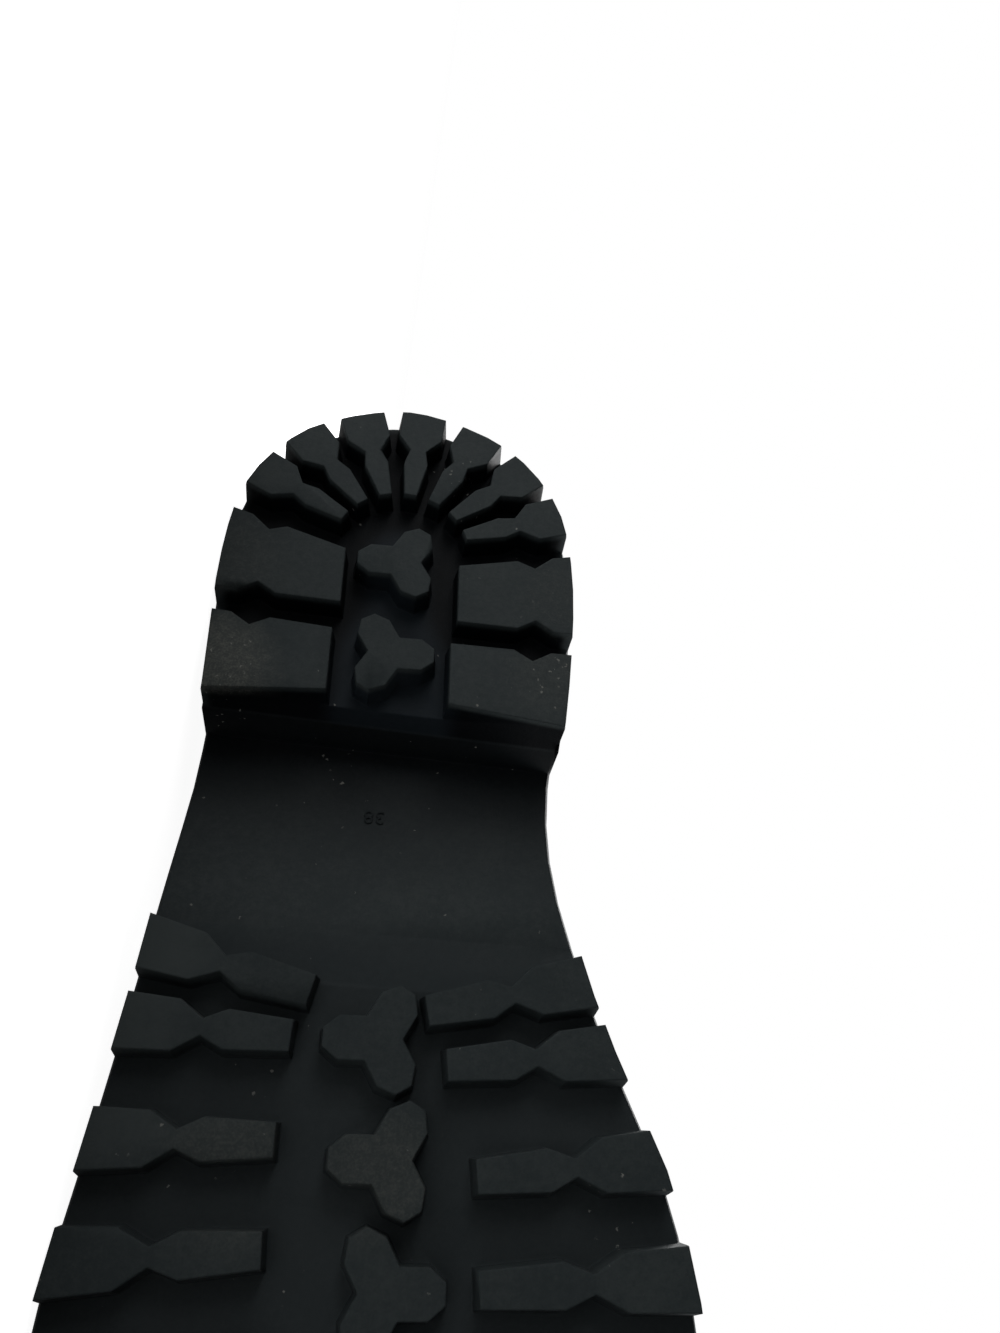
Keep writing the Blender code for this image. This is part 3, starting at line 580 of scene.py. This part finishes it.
outsole = merged_copy("outsole", "outsole_rubber")
alone(outsole)
bpy.ops.object.mode_set(mode="EDIT")
bpy.ops.mesh.select_all(action="SELECT")
bpy.ops.mesh.dissolve_limited(angle_limit=FLAT_ANGLE)
bpy.ops.mesh.select_mode(type="EDGE")
bpy.ops.mesh.select_all(action="DESELECT")
shape = bmesh.from_edit_mesh(outsole.data)
over_tread = [p[2] - tread_height(p[1]) for p in boot_points(outsole)]
at_tread = {v.index for v, height in zip(shape.verts, over_tread) if height < RIM_NEAR}
for edge in shape.edges:
    rim = edge.is_manifold and edge.calc_face_angle() > RIM_ANGLE
    edge.select = rim and edge.verts[0].index in at_tread and edge.verts[1].index in at_tread
rims = sum(edge.select for edge in shape.edges)
bpy.ops.mesh.bevel(offset=RIM_ROUND * MM, segments=2, affect="EDGES", clamp_overlap=True)
bpy.ops.object.mode_set(mode="OBJECT")
bpy.ops.object.shade_smooth_by_angle(angle=RUBBER_SMOOTH)
print("rim edges:", rims)
give(outsole, rubber)
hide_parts("outsole")
print("outsole faces:", len(outsole.data.polygons))

# %% [markdown]
# ## Size number
# The mould leaves the size as a low raised number in the waist, to be read with the toe up. It starts as
# a text object, becomes a mesh, and each of its points is then dropped onto the curved rubber.

# %% Size number
NUMBER_TEXT = "38"
NUMBER_PLACE = (-1.5, 97.6)
NUMBER_SIZE = 4.4
NUMBER_RELIEF = 0.28
NUMBER_SUNK = 0.12
NUMBER_BLOCK = 0.5
BELOW_TREAD = -20.0

bpy.ops.object.select_all(action="DESELECT")
bpy.ops.object.text_add(location=(0.0, 0.0, 0.0))
number = bpy.context.object
number.name = "size_number"
number.data.body = NUMBER_TEXT
number.data.align_x = "CENTER"
number.data.align_y = "CENTER"
number.data.size = NUMBER_SIZE
number.data.resolution_u = 3
number.data.extrude = NUMBER_BLOCK
bpy.ops.object.convert(target="MESH")
number = bpy.context.object
underside = BVHTree.FromObject(outsole, bpy.context.evaluated_depsgraph_get())
places = []
for vertex in number.data.vertices:
    x = NUMBER_PLACE[0] - vertex.co.x
    y = NUMBER_PLACE[1] + vertex.co.y
    hit = underside.ray_cast(room((x, y, BELOW_TREAD)), boot_up)[0]
    rubber_height = boot_place(hit)[2]
    places.append((x, y, rubber_height - (NUMBER_RELIEF if vertex.co.z > 0.0 else -NUMBER_SUNK)))
place_points(number, places)
give(number, rubber)
print("number faces:", len(number.data.polygons))

# %% [markdown]
# ## Black leather
# Smooth boot leather is nearly black with a soft shine. What gives it away is its grain: flat pebbles
# about a millimetre wide, a little finer on the trims than on the upper, with a shine that wanders.
# Cells with a ragged outline give the pebbles, and wide clouds vary the roughness.

# %% Leather finish
LEATHER_BLACK = (0.0046, 0.0046, 0.0052)
LEATHER_PALE = (0.0090, 0.0088, 0.0090)


def leather_finish(name, grain, shine):
    finish = Finish(name, shine, specular_ior_level=0.36, coat_weight=0.06, coat_roughness=0.3)
    torn = finish.ragged(2.0 * grain, 1.0)
    pebble, _ = finish.cells(grain, torn)
    crack = finish.cracks(grain, torn)
    cloud = finish.noise(38.0, 3.0)
    pores = finish.noise(0.5, 2.0)
    wrinkle = finish.noise(5.5, 5.0, 0.62, finish.stretched(1.0, 1.0, 1.9))
    colour = finish.mix(cloud.rise(0.35, 0.75), LEATHER_BLACK, LEATHER_PALE)
    height = crack.rise(0.0, 0.18) * 0.75 - pebble * 0.25 + pores * 0.12
    rough = shine + (cloud - 0.5) * 0.24 + (wrinkle - 0.5) * 0.18 + (pores - 0.5) * 0.08
    drawn = finish.bump(wrinkle, 0.75, 0.5)
    finish.use(base_color=colour, roughness=rough, normal=finish.bump(height, 0.17, 0.75, drawn))
    return finish


upper_leather = leather_finish("upper_leather", 1.15, 0.36)
trim_leather = leather_finish("trim_leather", 0.95, 0.33)
print("leather finishes:", upper_leather.material.name, trim_leather.material.name)

# %% [markdown]
# ## Lining
# The shaft is lined with a soft woven cloth. Two sine waves at right angles, multiplied, give its
# weave, and a fine noise on top of it gives the fibre. An image would do too, but this needs none.

# %% Lining finish
LINING_DARK = (0.085, 0.076, 0.066)
LINING_PALE = (0.135, 0.122, 0.106)


def lining_finish():
    finish = Finish("shaft_lining", 0.85, sheen_weight=0.25, sheen_roughness=0.5)
    across = (finish.z * 7.0 + (finish.x + finish.y) * 3.0).wave()
    along = (finish.z * 3.0 - (finish.x + finish.y) * 7.0).wave()
    weave = across * along
    cloud = finish.noise(30.0, 3.0)
    fibre = finish.noise(0.7, 3.0)
    colour = finish.mix((cloud * 0.6 + fibre * 0.4).rise(0.3, 0.7), LINING_DARK, LINING_PALE)
    finish.use(base_color=colour, normal=finish.bump(weave * 0.4 + fibre * 0.6, 0.18, 0.6))
    return finish


lining = lining_finish()
print("lining finish ready")

# %% [markdown]
# ## Upper
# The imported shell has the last's form in flat facets. A merged copy is turned to quads, its rims are
# marked sharp and it is subdivided, which gives the smooth skin of drawn leather. Sculpting it anew
# would lose the size that the solid keeps.

# %% Smooth upper
QUAD_FLATNESS = math.radians(40.0)
QUAD_SQUARENESS = math.radians(60.0)
SHARP_RIM = math.radians(50.0)
UPPER_LEVELS = 2

upper = merged_copy("upper", "upper_shell")
alone(upper)
bpy.ops.object.mode_set(mode="EDIT")
bpy.ops.mesh.select_all(action="SELECT")
bpy.ops.mesh.tris_convert_to_quads(face_threshold=QUAD_FLATNESS, shape_threshold=QUAD_SQUARENESS)
bpy.ops.mesh.select_mode(type="EDGE")
bpy.ops.mesh.select_all(action="DESELECT")
bpy.ops.mesh.edges_select_sharp(sharpness=SHARP_RIM)
bpy.ops.transform.edge_crease(value=1.0)
bpy.ops.object.mode_set(mode="OBJECT")
smooth = upper.modifiers.new("smooth", "SUBSURF")
smooth.levels = UPPER_LEVELS
smooth.render_levels = UPPER_LEVELS
apply_all(upper)
print("upper faces:", len(upper.data.polygons))

# %% [markdown]
# ## Folds of the leather
# A worn boot folds where the foot bends. Each fold is given as three points on the surface with a
# depth and a width, and is pressed in as a soft trough with a ridge on both sides. A line down
# the middle of the leg and foot tells which way is in.

# %% Middle line of the boot
# Middle of the leg and foot: x, y, z.
AXIS = np.array((
    (0.0, 60.0, 440.0),
    (0.0, 63.0, 330.0),
    (0.0, 68.0, 240.0),
    (0.0, 70.0, 165.0),
    (0.0, 74.0, 110.0),
    (1.0, 96.0, 74.0),
    (3.0, 130.0, 54.0),
    (5.0, 175.0, 43.0),
    (6.0, 225.0, 38.0),
    (6.0, 255.0, 38.0),
))


def from_axis(points):
    """Direction in which each point lies from the middle of the leg or foot."""
    nearest = np.full(len(points), np.inf)
    out = np.zeros_like(points)
    for start, end in zip(AXIS, AXIS[1:]):
        run = end - start
        share = np.clip((points - start) @ run / (run @ run), 0.0, 1.0)
        away = points - (start + share[:, None] * run)
        length = np.linalg.norm(away, axis=1)
        closer = length < nearest
        nearest[closer] = length[closer]
        out[closer] = away[closer] / length[closer, None]
    return out


print("middle line points:", len(AXIS))

# %% Press in the folds
# Three points on the surface, depth and half width of the trough.
FOLDS = (
    ((-34.0, 78.0, 150.0), (-22.0, 112.0, 150.0), (6.0, 122.0, 152.0), 3.0, 7.0),
    ((34.0, 70.0, 138.0), (26.0, 108.0, 136.0), (4.0, 128.0, 138.0), 3.4, 6.5),
    ((-36.0, 70.0, 172.0), (-26.0, 106.0, 178.0), (0.0, 116.0, 184.0), 2.2, 8.0),
    ((36.0, 62.0, 168.0), (28.0, 104.0, 164.0), (6.0, 118.0, 168.0), 2.6, 8.0),
    ((-36.0, 50.0, 196.0), (-24.0, 34.0, 190.0), (0.0, 12.0, 186.0), 2.4, 8.5),
    ((36.0, 52.0, 160.0), (24.0, 24.0, 166.0), (2.0, 10.0, 164.0), 2.6, 8.0),
    ((-40.0, 60.0, 236.0), (-24.0, 102.0, 244.0), (14.0, 110.0, 252.0), 1.1, 12.0),
    ((40.0, 54.0, 226.0), (28.0, 100.0, 222.0), (-10.0, 111.0, 226.0), 1.2, 12.0),
    ((-44.0, 70.0, 318.0), (-30.0, 34.0, 306.0), (-4.0, 2.0, 300.0), 1.6, 15.0),
    ((44.0, 84.0, 300.0), (38.0, 60.0, 314.0), (26.0, 20.0, 330.0), 1.6, 15.0),
    ((-44.0, 158.0, 48.0), (-22.0, 176.0, 68.0), (4.0, 182.0, 74.0), 1.7, 4.6),
    ((50.0, 166.0, 44.0), (30.0, 182.0, 64.0), (6.0, 188.0, 71.0), 1.9, 4.6),
    ((-40.0, 176.0, 46.0), (-18.0, 194.0, 64.0), (8.0, 200.0, 67.0), 1.4, 4.2),
    ((48.0, 190.0, 42.0), (32.0, 198.0, 58.0), (14.0, 203.0, 65.0), 1.3, 4.2),
)
RIDGE_SHARE = 0.45
RIDGE_PLACE = 1.9
RIDGE_WIDTH = 0.8
FOLD_STEPS = 24
# A fold fades to its ends as a part of a half sine wave: where it starts, how much of it, its power.
FADE_START = 0.06
FADE_SPAN = 0.88
FADE_POWER = 0.6
# Heights between which the folds fade out over the sole and under the collar, in millimetres.
FADE_LOW = (34.0, 50.0)
FADE_HIGH = (375.0, 425.0)


def fold_depth(points, row):
    """How far one fold moves each point: in along its trough, out along its ridges."""
    start, middle, end = (np.array(p) for p in row[:3])
    depth, width = row[3:]
    t = np.linspace(0.0, 1.0, FOLD_STEPS)[:, None]
    bend = 2.0 * middle - 0.5 * (start + end)
    line = (1.0 - t) ** 2 * start + 2.0 * t * (1.0 - t) * bend + t ** 2 * end
    apart = np.linalg.norm(points[:, None, :] - line[None, :, :], axis=2)
    nearest = apart.min(axis=1) / width
    share = FADE_START + FADE_SPAN * apart.argmin(axis=1) / (FOLD_STEPS - 1.0)
    fade = np.sin(np.pi * share) ** FADE_POWER
    trough = np.exp(-nearest ** 2)
    ridge = np.exp(-((nearest - RIDGE_PLACE) / RIDGE_WIDTH) ** 2)
    return depth * fade * (RIDGE_SHARE * ridge - trough)


points = boot_points(upper)
away = from_axis(points)
calm = np.interp(points[:, 2], FADE_LOW, (0.0, 1.0)) * np.interp(points[:, 2], FADE_HIGH, (1.0, 0.0))
move = sum(fold_depth(points, row) for row in FOLDS) * calm
place_points(upper, points + away * move[:, None])
print("deepest fold:", round(float(-move.min()), 1), "mm")

# %% [markdown]
# ## Leather outside, lining inside
# The shell is one mesh with two finishes. A face that looks towards the middle line is lining and every
# other one is leather, so the faces can be sorted in code instead of being picked by hand.

# %% Lining on the inner faces
FACES_IN = -0.2
LEATHER_SMOOTH = math.radians(50.0)

middles = np.empty(3 * len(upper.data.polygons))
normals = np.empty(3 * len(upper.data.polygons))
upper.data.polygons.foreach_get("center", middles)
upper.data.polygons.foreach_get("normal", normals)
middles = middles.reshape(-1, 3) @ TO_BOOT[:3, :3].T + TO_BOOT[:3, 3]
normals = normals.reshape(-1, 3) @ TO_ROOM[:3, :3] / MM
facing = np.einsum("ij,ij->i", normals, from_axis(middles))
alone(upper)
bpy.ops.object.shade_smooth_by_angle(angle=LEATHER_SMOOTH)
give(upper, upper_leather, lining)
inside = facing < FACES_IN
upper.data.polygons.foreach_set("material_index", inside.astype(int))
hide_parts("upper")
skin = BVHTree.FromObject(upper, bpy.context.evaluated_depsgraph_get())
print("lining faces:", int(inside.sum()))

# %% [markdown]
# ## Leather laid on the upper
# Counter, back strip and collar band are cut flat and drawn over the upper, so they are made that way:
# a grid primitive is the cut piece, each of its points is sent straight out from the middle of the leg
# until it meets the upper's skin, and Solidify and Bevel give it a wall with a turned edge.

# %% Laying helpers
LAY_GAP = 0.25
REACH = 0.30
SHEET_JOIN = 0.00002
WALL = 1.3
TURNED_EDGE = 0.35
TURNED_ANGLE = math.radians(60.0)


def skin_point(start, direction, lift):
    """Where a line from inside the boot leaves the upper's outer face, raised by a lift."""
    ray = (BOOT.to_3x3() @ Vector(direction)).normalized()
    far = room(start) + REACH * ray
    hit, normal, _, _ = skin.ray_cast(far, -ray, REACH)
    if hit is None:
        return None
    return hit + normal * lift * MM


def laid_sheet(name, grid, where, closed=False):
    """A grid whose points lie where a rule of two shares puts them on the skin."""
    bpy.ops.object.select_all(action="DESELECT")
    bpy.ops.mesh.primitive_grid_add(x_subdivisions=grid[0], y_subdivisions=grid[1], size=2.0)
    obj = bpy.context.object
    obj.name = name
    for vertex in obj.data.vertices:
        along = 0.5 + 0.5 * vertex.co.x
        up = 0.5 + 0.5 * vertex.co.y
        start, direction = where(along, up)
        vertex.co = skin_point(start, direction, LAY_GAP)
    if closed:
        alone(obj)
        bpy.ops.object.mode_set(mode="EDIT")
        bpy.ops.mesh.select_all(action="SELECT")
        bpy.ops.mesh.remove_doubles(threshold=SHEET_JOIN)
        bpy.ops.object.mode_set(mode="OBJECT")
    obj.data.update()
    return obj


def leather_wall(obj, node):
    """Give a laid sheet its wall, pointing out from the boot, its rounded edge and its finish."""
    points = boot_points(obj)
    normals = np.array([tuple(v.normal) for v in obj.data.vertices]) @ TO_ROOM[:3, :3] / MM
    if np.einsum("ij,ij->i", normals, from_axis(points)).mean() < 0.0:
        alone(obj)
        bpy.ops.object.mode_set(mode="EDIT")
        bpy.ops.mesh.select_all(action="SELECT")
        bpy.ops.mesh.flip_normals()
        bpy.ops.object.mode_set(mode="OBJECT")
    wall = obj.modifiers.new("wall", "SOLIDIFY")
    wall.thickness = WALL * MM
    wall.offset = 1.0
    round_edge = obj.modifiers.new("edge", "BEVEL")
    round_edge.width = TURNED_EDGE * MM
    round_edge.segments = 2
    round_edge.limit_method = "ANGLE"
    round_edge.angle_limit = TURNED_ANGLE
    apply_all(obj)
    bpy.ops.object.shade_smooth_by_angle(angle=LEATHER_SMOOTH)
    give(obj, trim_leather)
    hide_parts(node)
    tell(obj)


# %% [markdown]
# ## Heel counter
# The counter wraps the heel from waist to waist. Its lower edge goes down to the sole and its upper
# edge is level at the back and falls to the front, as one curve.

# %% Heel counter
COUNTER_HEIGHT = 104.0
COUNTER_REACH = 99.75
COUNTER_LEVEL = 28.5
COUNTER_FALL = 1.6
SOLE_TOP_BACK = 38.0
LOWEST_EDGE = 27.0
EDGE_STEP = 0.5
EDGE_CLEAR = 0.8
COUNTER_AXIS = 58.0
COUNTER_TURN = math.radians(139.0)
COUNTER_ROUNDS = 6
COUNTER_GRID = (120, 30)


def counter_edge(y):
    """Height of the counter's upper edge."""
    ahead = min(1.0, max(0.0, (y - COUNTER_LEVEL) / (COUNTER_REACH - COUNTER_LEVEL)))
    return COUNTER_HEIGHT - (COUNTER_HEIGHT - SOLE_TOP_BACK) * ahead ** COUNTER_FALL


def lowest_skin(direction):
    """Height just above the upper's lower edge in one direction from the heel."""
    height = LOWEST_EDGE
    while skin_point((0.0, COUNTER_AXIS, height), direction, 0.0) is None:
        height += EDGE_STEP
    return height + EDGE_CLEAR


def counter_place(along, up, inset=0.0):
    """Start and direction for a share round the heel and a share up the counter."""
    turn = COUNTER_TURN * (2.0 * along - 1.0)
    direction = (math.sin(turn), -math.cos(turn), 0.0)
    top = COUNTER_HEIGHT
    for _ in range(COUNTER_ROUNDS):
        hit = skin_point((0.0, COUNTER_AXIS, top), direction, 0.0)
        top = 0.5 * (top + counter_edge(boot_place(hit)[1]))
    low = lowest_skin(direction)
    return (0.0, COUNTER_AXIS, low + (max(top, low + EDGE_CLEAR) - inset - low) * up), direction


counter = laid_sheet("heel_counter_leather", COUNTER_GRID, counter_place)
leather_wall(counter, "heel_counter")

# %% [markdown]
# ## Back strip
# A narrow strip covers the seam up the back of the shaft. It is laid as the counter is, from just above
# the counter to just below the collar band, whose heights it needs to know.

# %% Back strip
STRIP_WIDTH = 22.0
COLLAR_BACK = 415.0
COLLAR_FRONT = 428.0
COLLAR_BACK_PLACE = -5.1
COLLAR_FRONT_PLACE = 125.4
BAND_HEIGHT = 26.0
STRIP_AXIS = 60.0
STRIP_CLEAR = 0.3
STRIP_GRID = (12, 140)


def collar_height(y):
    """Height of the collar's edge, which rises to the front."""
    share = (y - COLLAR_BACK_PLACE) / (COLLAR_FRONT_PLACE - COLLAR_BACK_PLACE)
    return COLLAR_BACK + (COLLAR_FRONT - COLLAR_BACK) * share


def strip_place(along, up):
    """Start and direction for a share across the strip and a share up it."""
    low = COUNTER_HEIGHT + STRIP_CLEAR
    high = collar_height(0.0) - BAND_HEIGHT - STRIP_CLEAR
    x = (along - 0.5) * STRIP_WIDTH
    return (x, STRIP_AXIS, low + (high - low) * up), (0.0, -1.0, 0.0)


strip = laid_sheet("back_strip_leather", STRIP_GRID, strip_place)
leather_wall(strip, "back_strip")

# %% [markdown]
# ## Collar band
# The band strengthens the top of the shaft. It goes all the way round, so the grid's two ends meet and
# are joined. Its edge follows the collar, which rises to the front.

# %% Collar band
COLLAR_AXIS = 60.0
COLLAR_REACH = 65.0
COLLAR_PROBE = 8.0
COLLAR_CLEAR = 1.5
COLLAR_ROUNDS = 2
BAND_SHORT = 1.0
BAND_GRID = (144, 10)


def collar_place(along, up):
    """Start and direction for a share round the collar and a share up the band."""
    turn = 2.0 * math.pi * along
    direction = (math.sin(turn), -math.cos(turn), 0.0)
    y = COLLAR_AXIS - COLLAR_REACH * math.cos(turn)
    for _ in range(COLLAR_ROUNDS):
        hit = skin_point((0.0, COLLAR_AXIS, collar_height(y) - COLLAR_PROBE), direction, 0.0)
        y = boot_place(hit)[1]
    top = collar_height(y) - COLLAR_CLEAR
    return (0.0, COLLAR_AXIS, top - (BAND_HEIGHT - BAND_SHORT) * (1.0 - up)), direction


band = laid_sheet("collar_band_leather", BAND_GRID, collar_place, closed=True)
leather_wall(band, "collar_band")

# %% [markdown]
# ## Collar binding
# The raw edges of the shaft and the band are closed by a folded binding. It is a curve through places
# on the rim with a round section, made a mesh at the end. A bent cylinder would be harder to fit.

# %% Collar binding
BINDING_COUNT = 96
BINDING_RADIUS = 2.05
BINDING_INSET = 0.2
BINDING_RISE = 0.9


def smooth_path(name, places, closed):
    """A smooth curve through places given in the room's metres."""
    data = bpy.data.curves.new(name, "CURVE")
    data.dimensions = "3D"
    data.resolution_u = 3
    line = data.splines.new("NURBS")
    line.points.add(len(places) - 1)
    for point, place in zip(line.points, places):
        point.co = (*place, 1.0)
    line.order_u = 3
    line.use_cyclic_u = closed
    line.use_endpoint_u = not closed
    obj = bpy.data.objects.new(name, data)
    bpy.context.scene.collection.objects.link(obj)
    return obj


rim = []
for k in range(BINDING_COUNT):
    start, direction = collar_place(k / BINDING_COUNT, 1.0)
    place = skin_point(start, direction, -BINDING_INSET)
    rim.append(place + boot_up * BINDING_RISE * MM)
binding = smooth_path("collar_binding", rim, True)
binding.data.bevel_depth = BINDING_RADIUS * MM
binding.data.bevel_resolution = 3
alone(binding)
bpy.ops.object.convert(target="MESH")
binding = bpy.context.object
bpy.ops.object.shade_smooth()
give(binding, trim_leather)
tell(binding)

# %% [markdown]
# ## Stitches
# The laid leather is sewn down with rows of waxed thread. One stitch is a six-sided cylinder with
# drawn-in ends. An Array repeats it and a Curve modifier bends the row along its seam, so the stitches
# keep their length however the seam turns.

# %% Stitch helper
STITCH_LENGTH = 2.7
STITCH_PITCH = 3.5
THREAD = 0.62
STITCH_TIP = 0.45
TIP_FROM = 0.45
THREAD_DARK = (0.012, 0.012, 0.013)
THREAD_PALE = (0.035, 0.034, 0.034)


def thread_finish():
    finish = Finish("waxed_thread", 0.5)
    ply = finish.noise(0.35, 2.0)
    colour = finish.mix(ply.rise(0.3, 0.7), THREAD_DARK, THREAD_PALE)
    finish.use(base_color=colour, normal=finish.bump(ply, 0.08, 0.6))
    return finish


thread = thread_finish()
print("thread finish ready")


def sew(name, places, closed=False):
    """A row of stitches along places given in the room's metres."""
    seam = smooth_path(name + "_line", places, closed)
    run = sum((b - a).length for a, b in zip(places, places[1:]))
    bpy.ops.object.select_all(action="DESELECT")
    bpy.ops.mesh.primitive_cylinder_add(vertices=6, radius=0.5 * THREAD * MM, depth=STITCH_LENGTH * MM,
                                        rotation=(0.0, 0.5 * math.pi, 0.0),
                                        location=(0.5 * STITCH_LENGTH * MM, 0.0, 0.0))
    row = bpy.context.object
    row.name = name
    settle(row)
    bpy.ops.object.mode_set(mode="EDIT")
    bpy.ops.mesh.select_all(action="SELECT")
    bpy.ops.mesh.subdivide(number_cuts=1)
    bpy.ops.object.mode_set(mode="OBJECT")
    for vertex in row.data.vertices:
        at_end = abs(vertex.co.x / (STITCH_LENGTH * MM) - 0.5) > TIP_FROM
        vertex.co.y *= STITCH_TIP if at_end else 1.0
        vertex.co.z *= STITCH_TIP if at_end else 1.0
    repeat = row.modifiers.new("repeat", "ARRAY")
    repeat.use_relative_offset = False
    repeat.use_constant_offset = True
    repeat.constant_offset_displace = (STITCH_PITCH * MM, 0.0, 0.0)
    repeat.count = max(2, int(run / (STITCH_PITCH * MM)) - 1)
    follow = row.modifiers.new("follow", "CURVE")
    follow.object = seam
    follow.deform_axis = "POS_X"
    apply_all(row)
    bpy.ops.object.shade_smooth()
    bpy.data.objects.remove(seam, do_unlink=True)
    give(row, thread)
    tell(row)


# %% [markdown]
# ## The seams
# The counter and the band have two rows along one edge, and the strip has one row down each side. Each
# row starts as places on the skin, from the same rule that laid the leather, raised by its wall.

# %% Sew the counter, strip and band
THREAD_PROUD = 0.1
SEW_LIFT = WALL + LAY_GAP + THREAD_PROUD
COUNTER_INSETS = (3.0, 5.6)
COUNTER_ENDS = (0.028, 0.972)
STRIP_ROWS = (0.12, 0.88)
STRIP_ENDS = (0.01, 0.99)
BAND_ROWS = (0.10, 0.20)
BAND_ENDS = (0.0, 1.0)
ROUND_STEPS = 120
STRIP_STEPS = 90


def on_leather(where, count, ends, *rest):
    """Places along a seam, whose rule takes a share between two ends first."""
    low, high = ends
    shares = [low + (high - low) * k / count for k in range(count + 1)]
    return [skin_point(*where(share, *rest), SEW_LIFT) for share in shares]


for number, inset in enumerate(COUNTER_INSETS, 1):
    places = on_leather(counter_place, ROUND_STEPS, COUNTER_ENDS, 1.0, inset)
    sew(f"counter_stitches_{number}", places)

for number, along in enumerate(STRIP_ROWS, 1):
    places = on_leather(lambda up, side: strip_place(side, up), STRIP_STEPS, STRIP_ENDS, along)
    sew(f"strip_stitches_{number}", places)

for number, up in enumerate(BAND_ROWS, 1):
    places = on_leather(collar_place, ROUND_STEPS, BAND_ENDS, up)[:-1]
    sew(f"band_stitches_{number}", places, closed=True)

# %% [markdown]
# ## Insole
# A thin board covered in cloth lies inside on the sole. Only a look down the shaft shows it, so the
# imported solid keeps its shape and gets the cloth's colour and fibre.

# %% Insole finish
CLOTH_DARK = (0.045, 0.040, 0.036)
CLOTH_PALE = (0.080, 0.072, 0.064)


def insole_finish():
    finish = Finish("insole_cloth", 0.88, sheen_weight=0.2)
    fibre = finish.noise(0.6, 4.0)
    cloud = finish.noise(22.0, 3.0)
    colour = finish.mix((fibre * 0.5 + cloud * 0.5).rise(0.35, 0.65), CLOTH_DARK, CLOTH_PALE)
    finish.use(base_color=colour, normal=finish.bump(fibre, 0.2, 0.6))
    return finish


insole = frame["nodes"]["insole"]
insole.data.materials.clear()
insole.data.materials.append(insole_finish().material)
print("insole finish:", insole.data.materials[0].name)
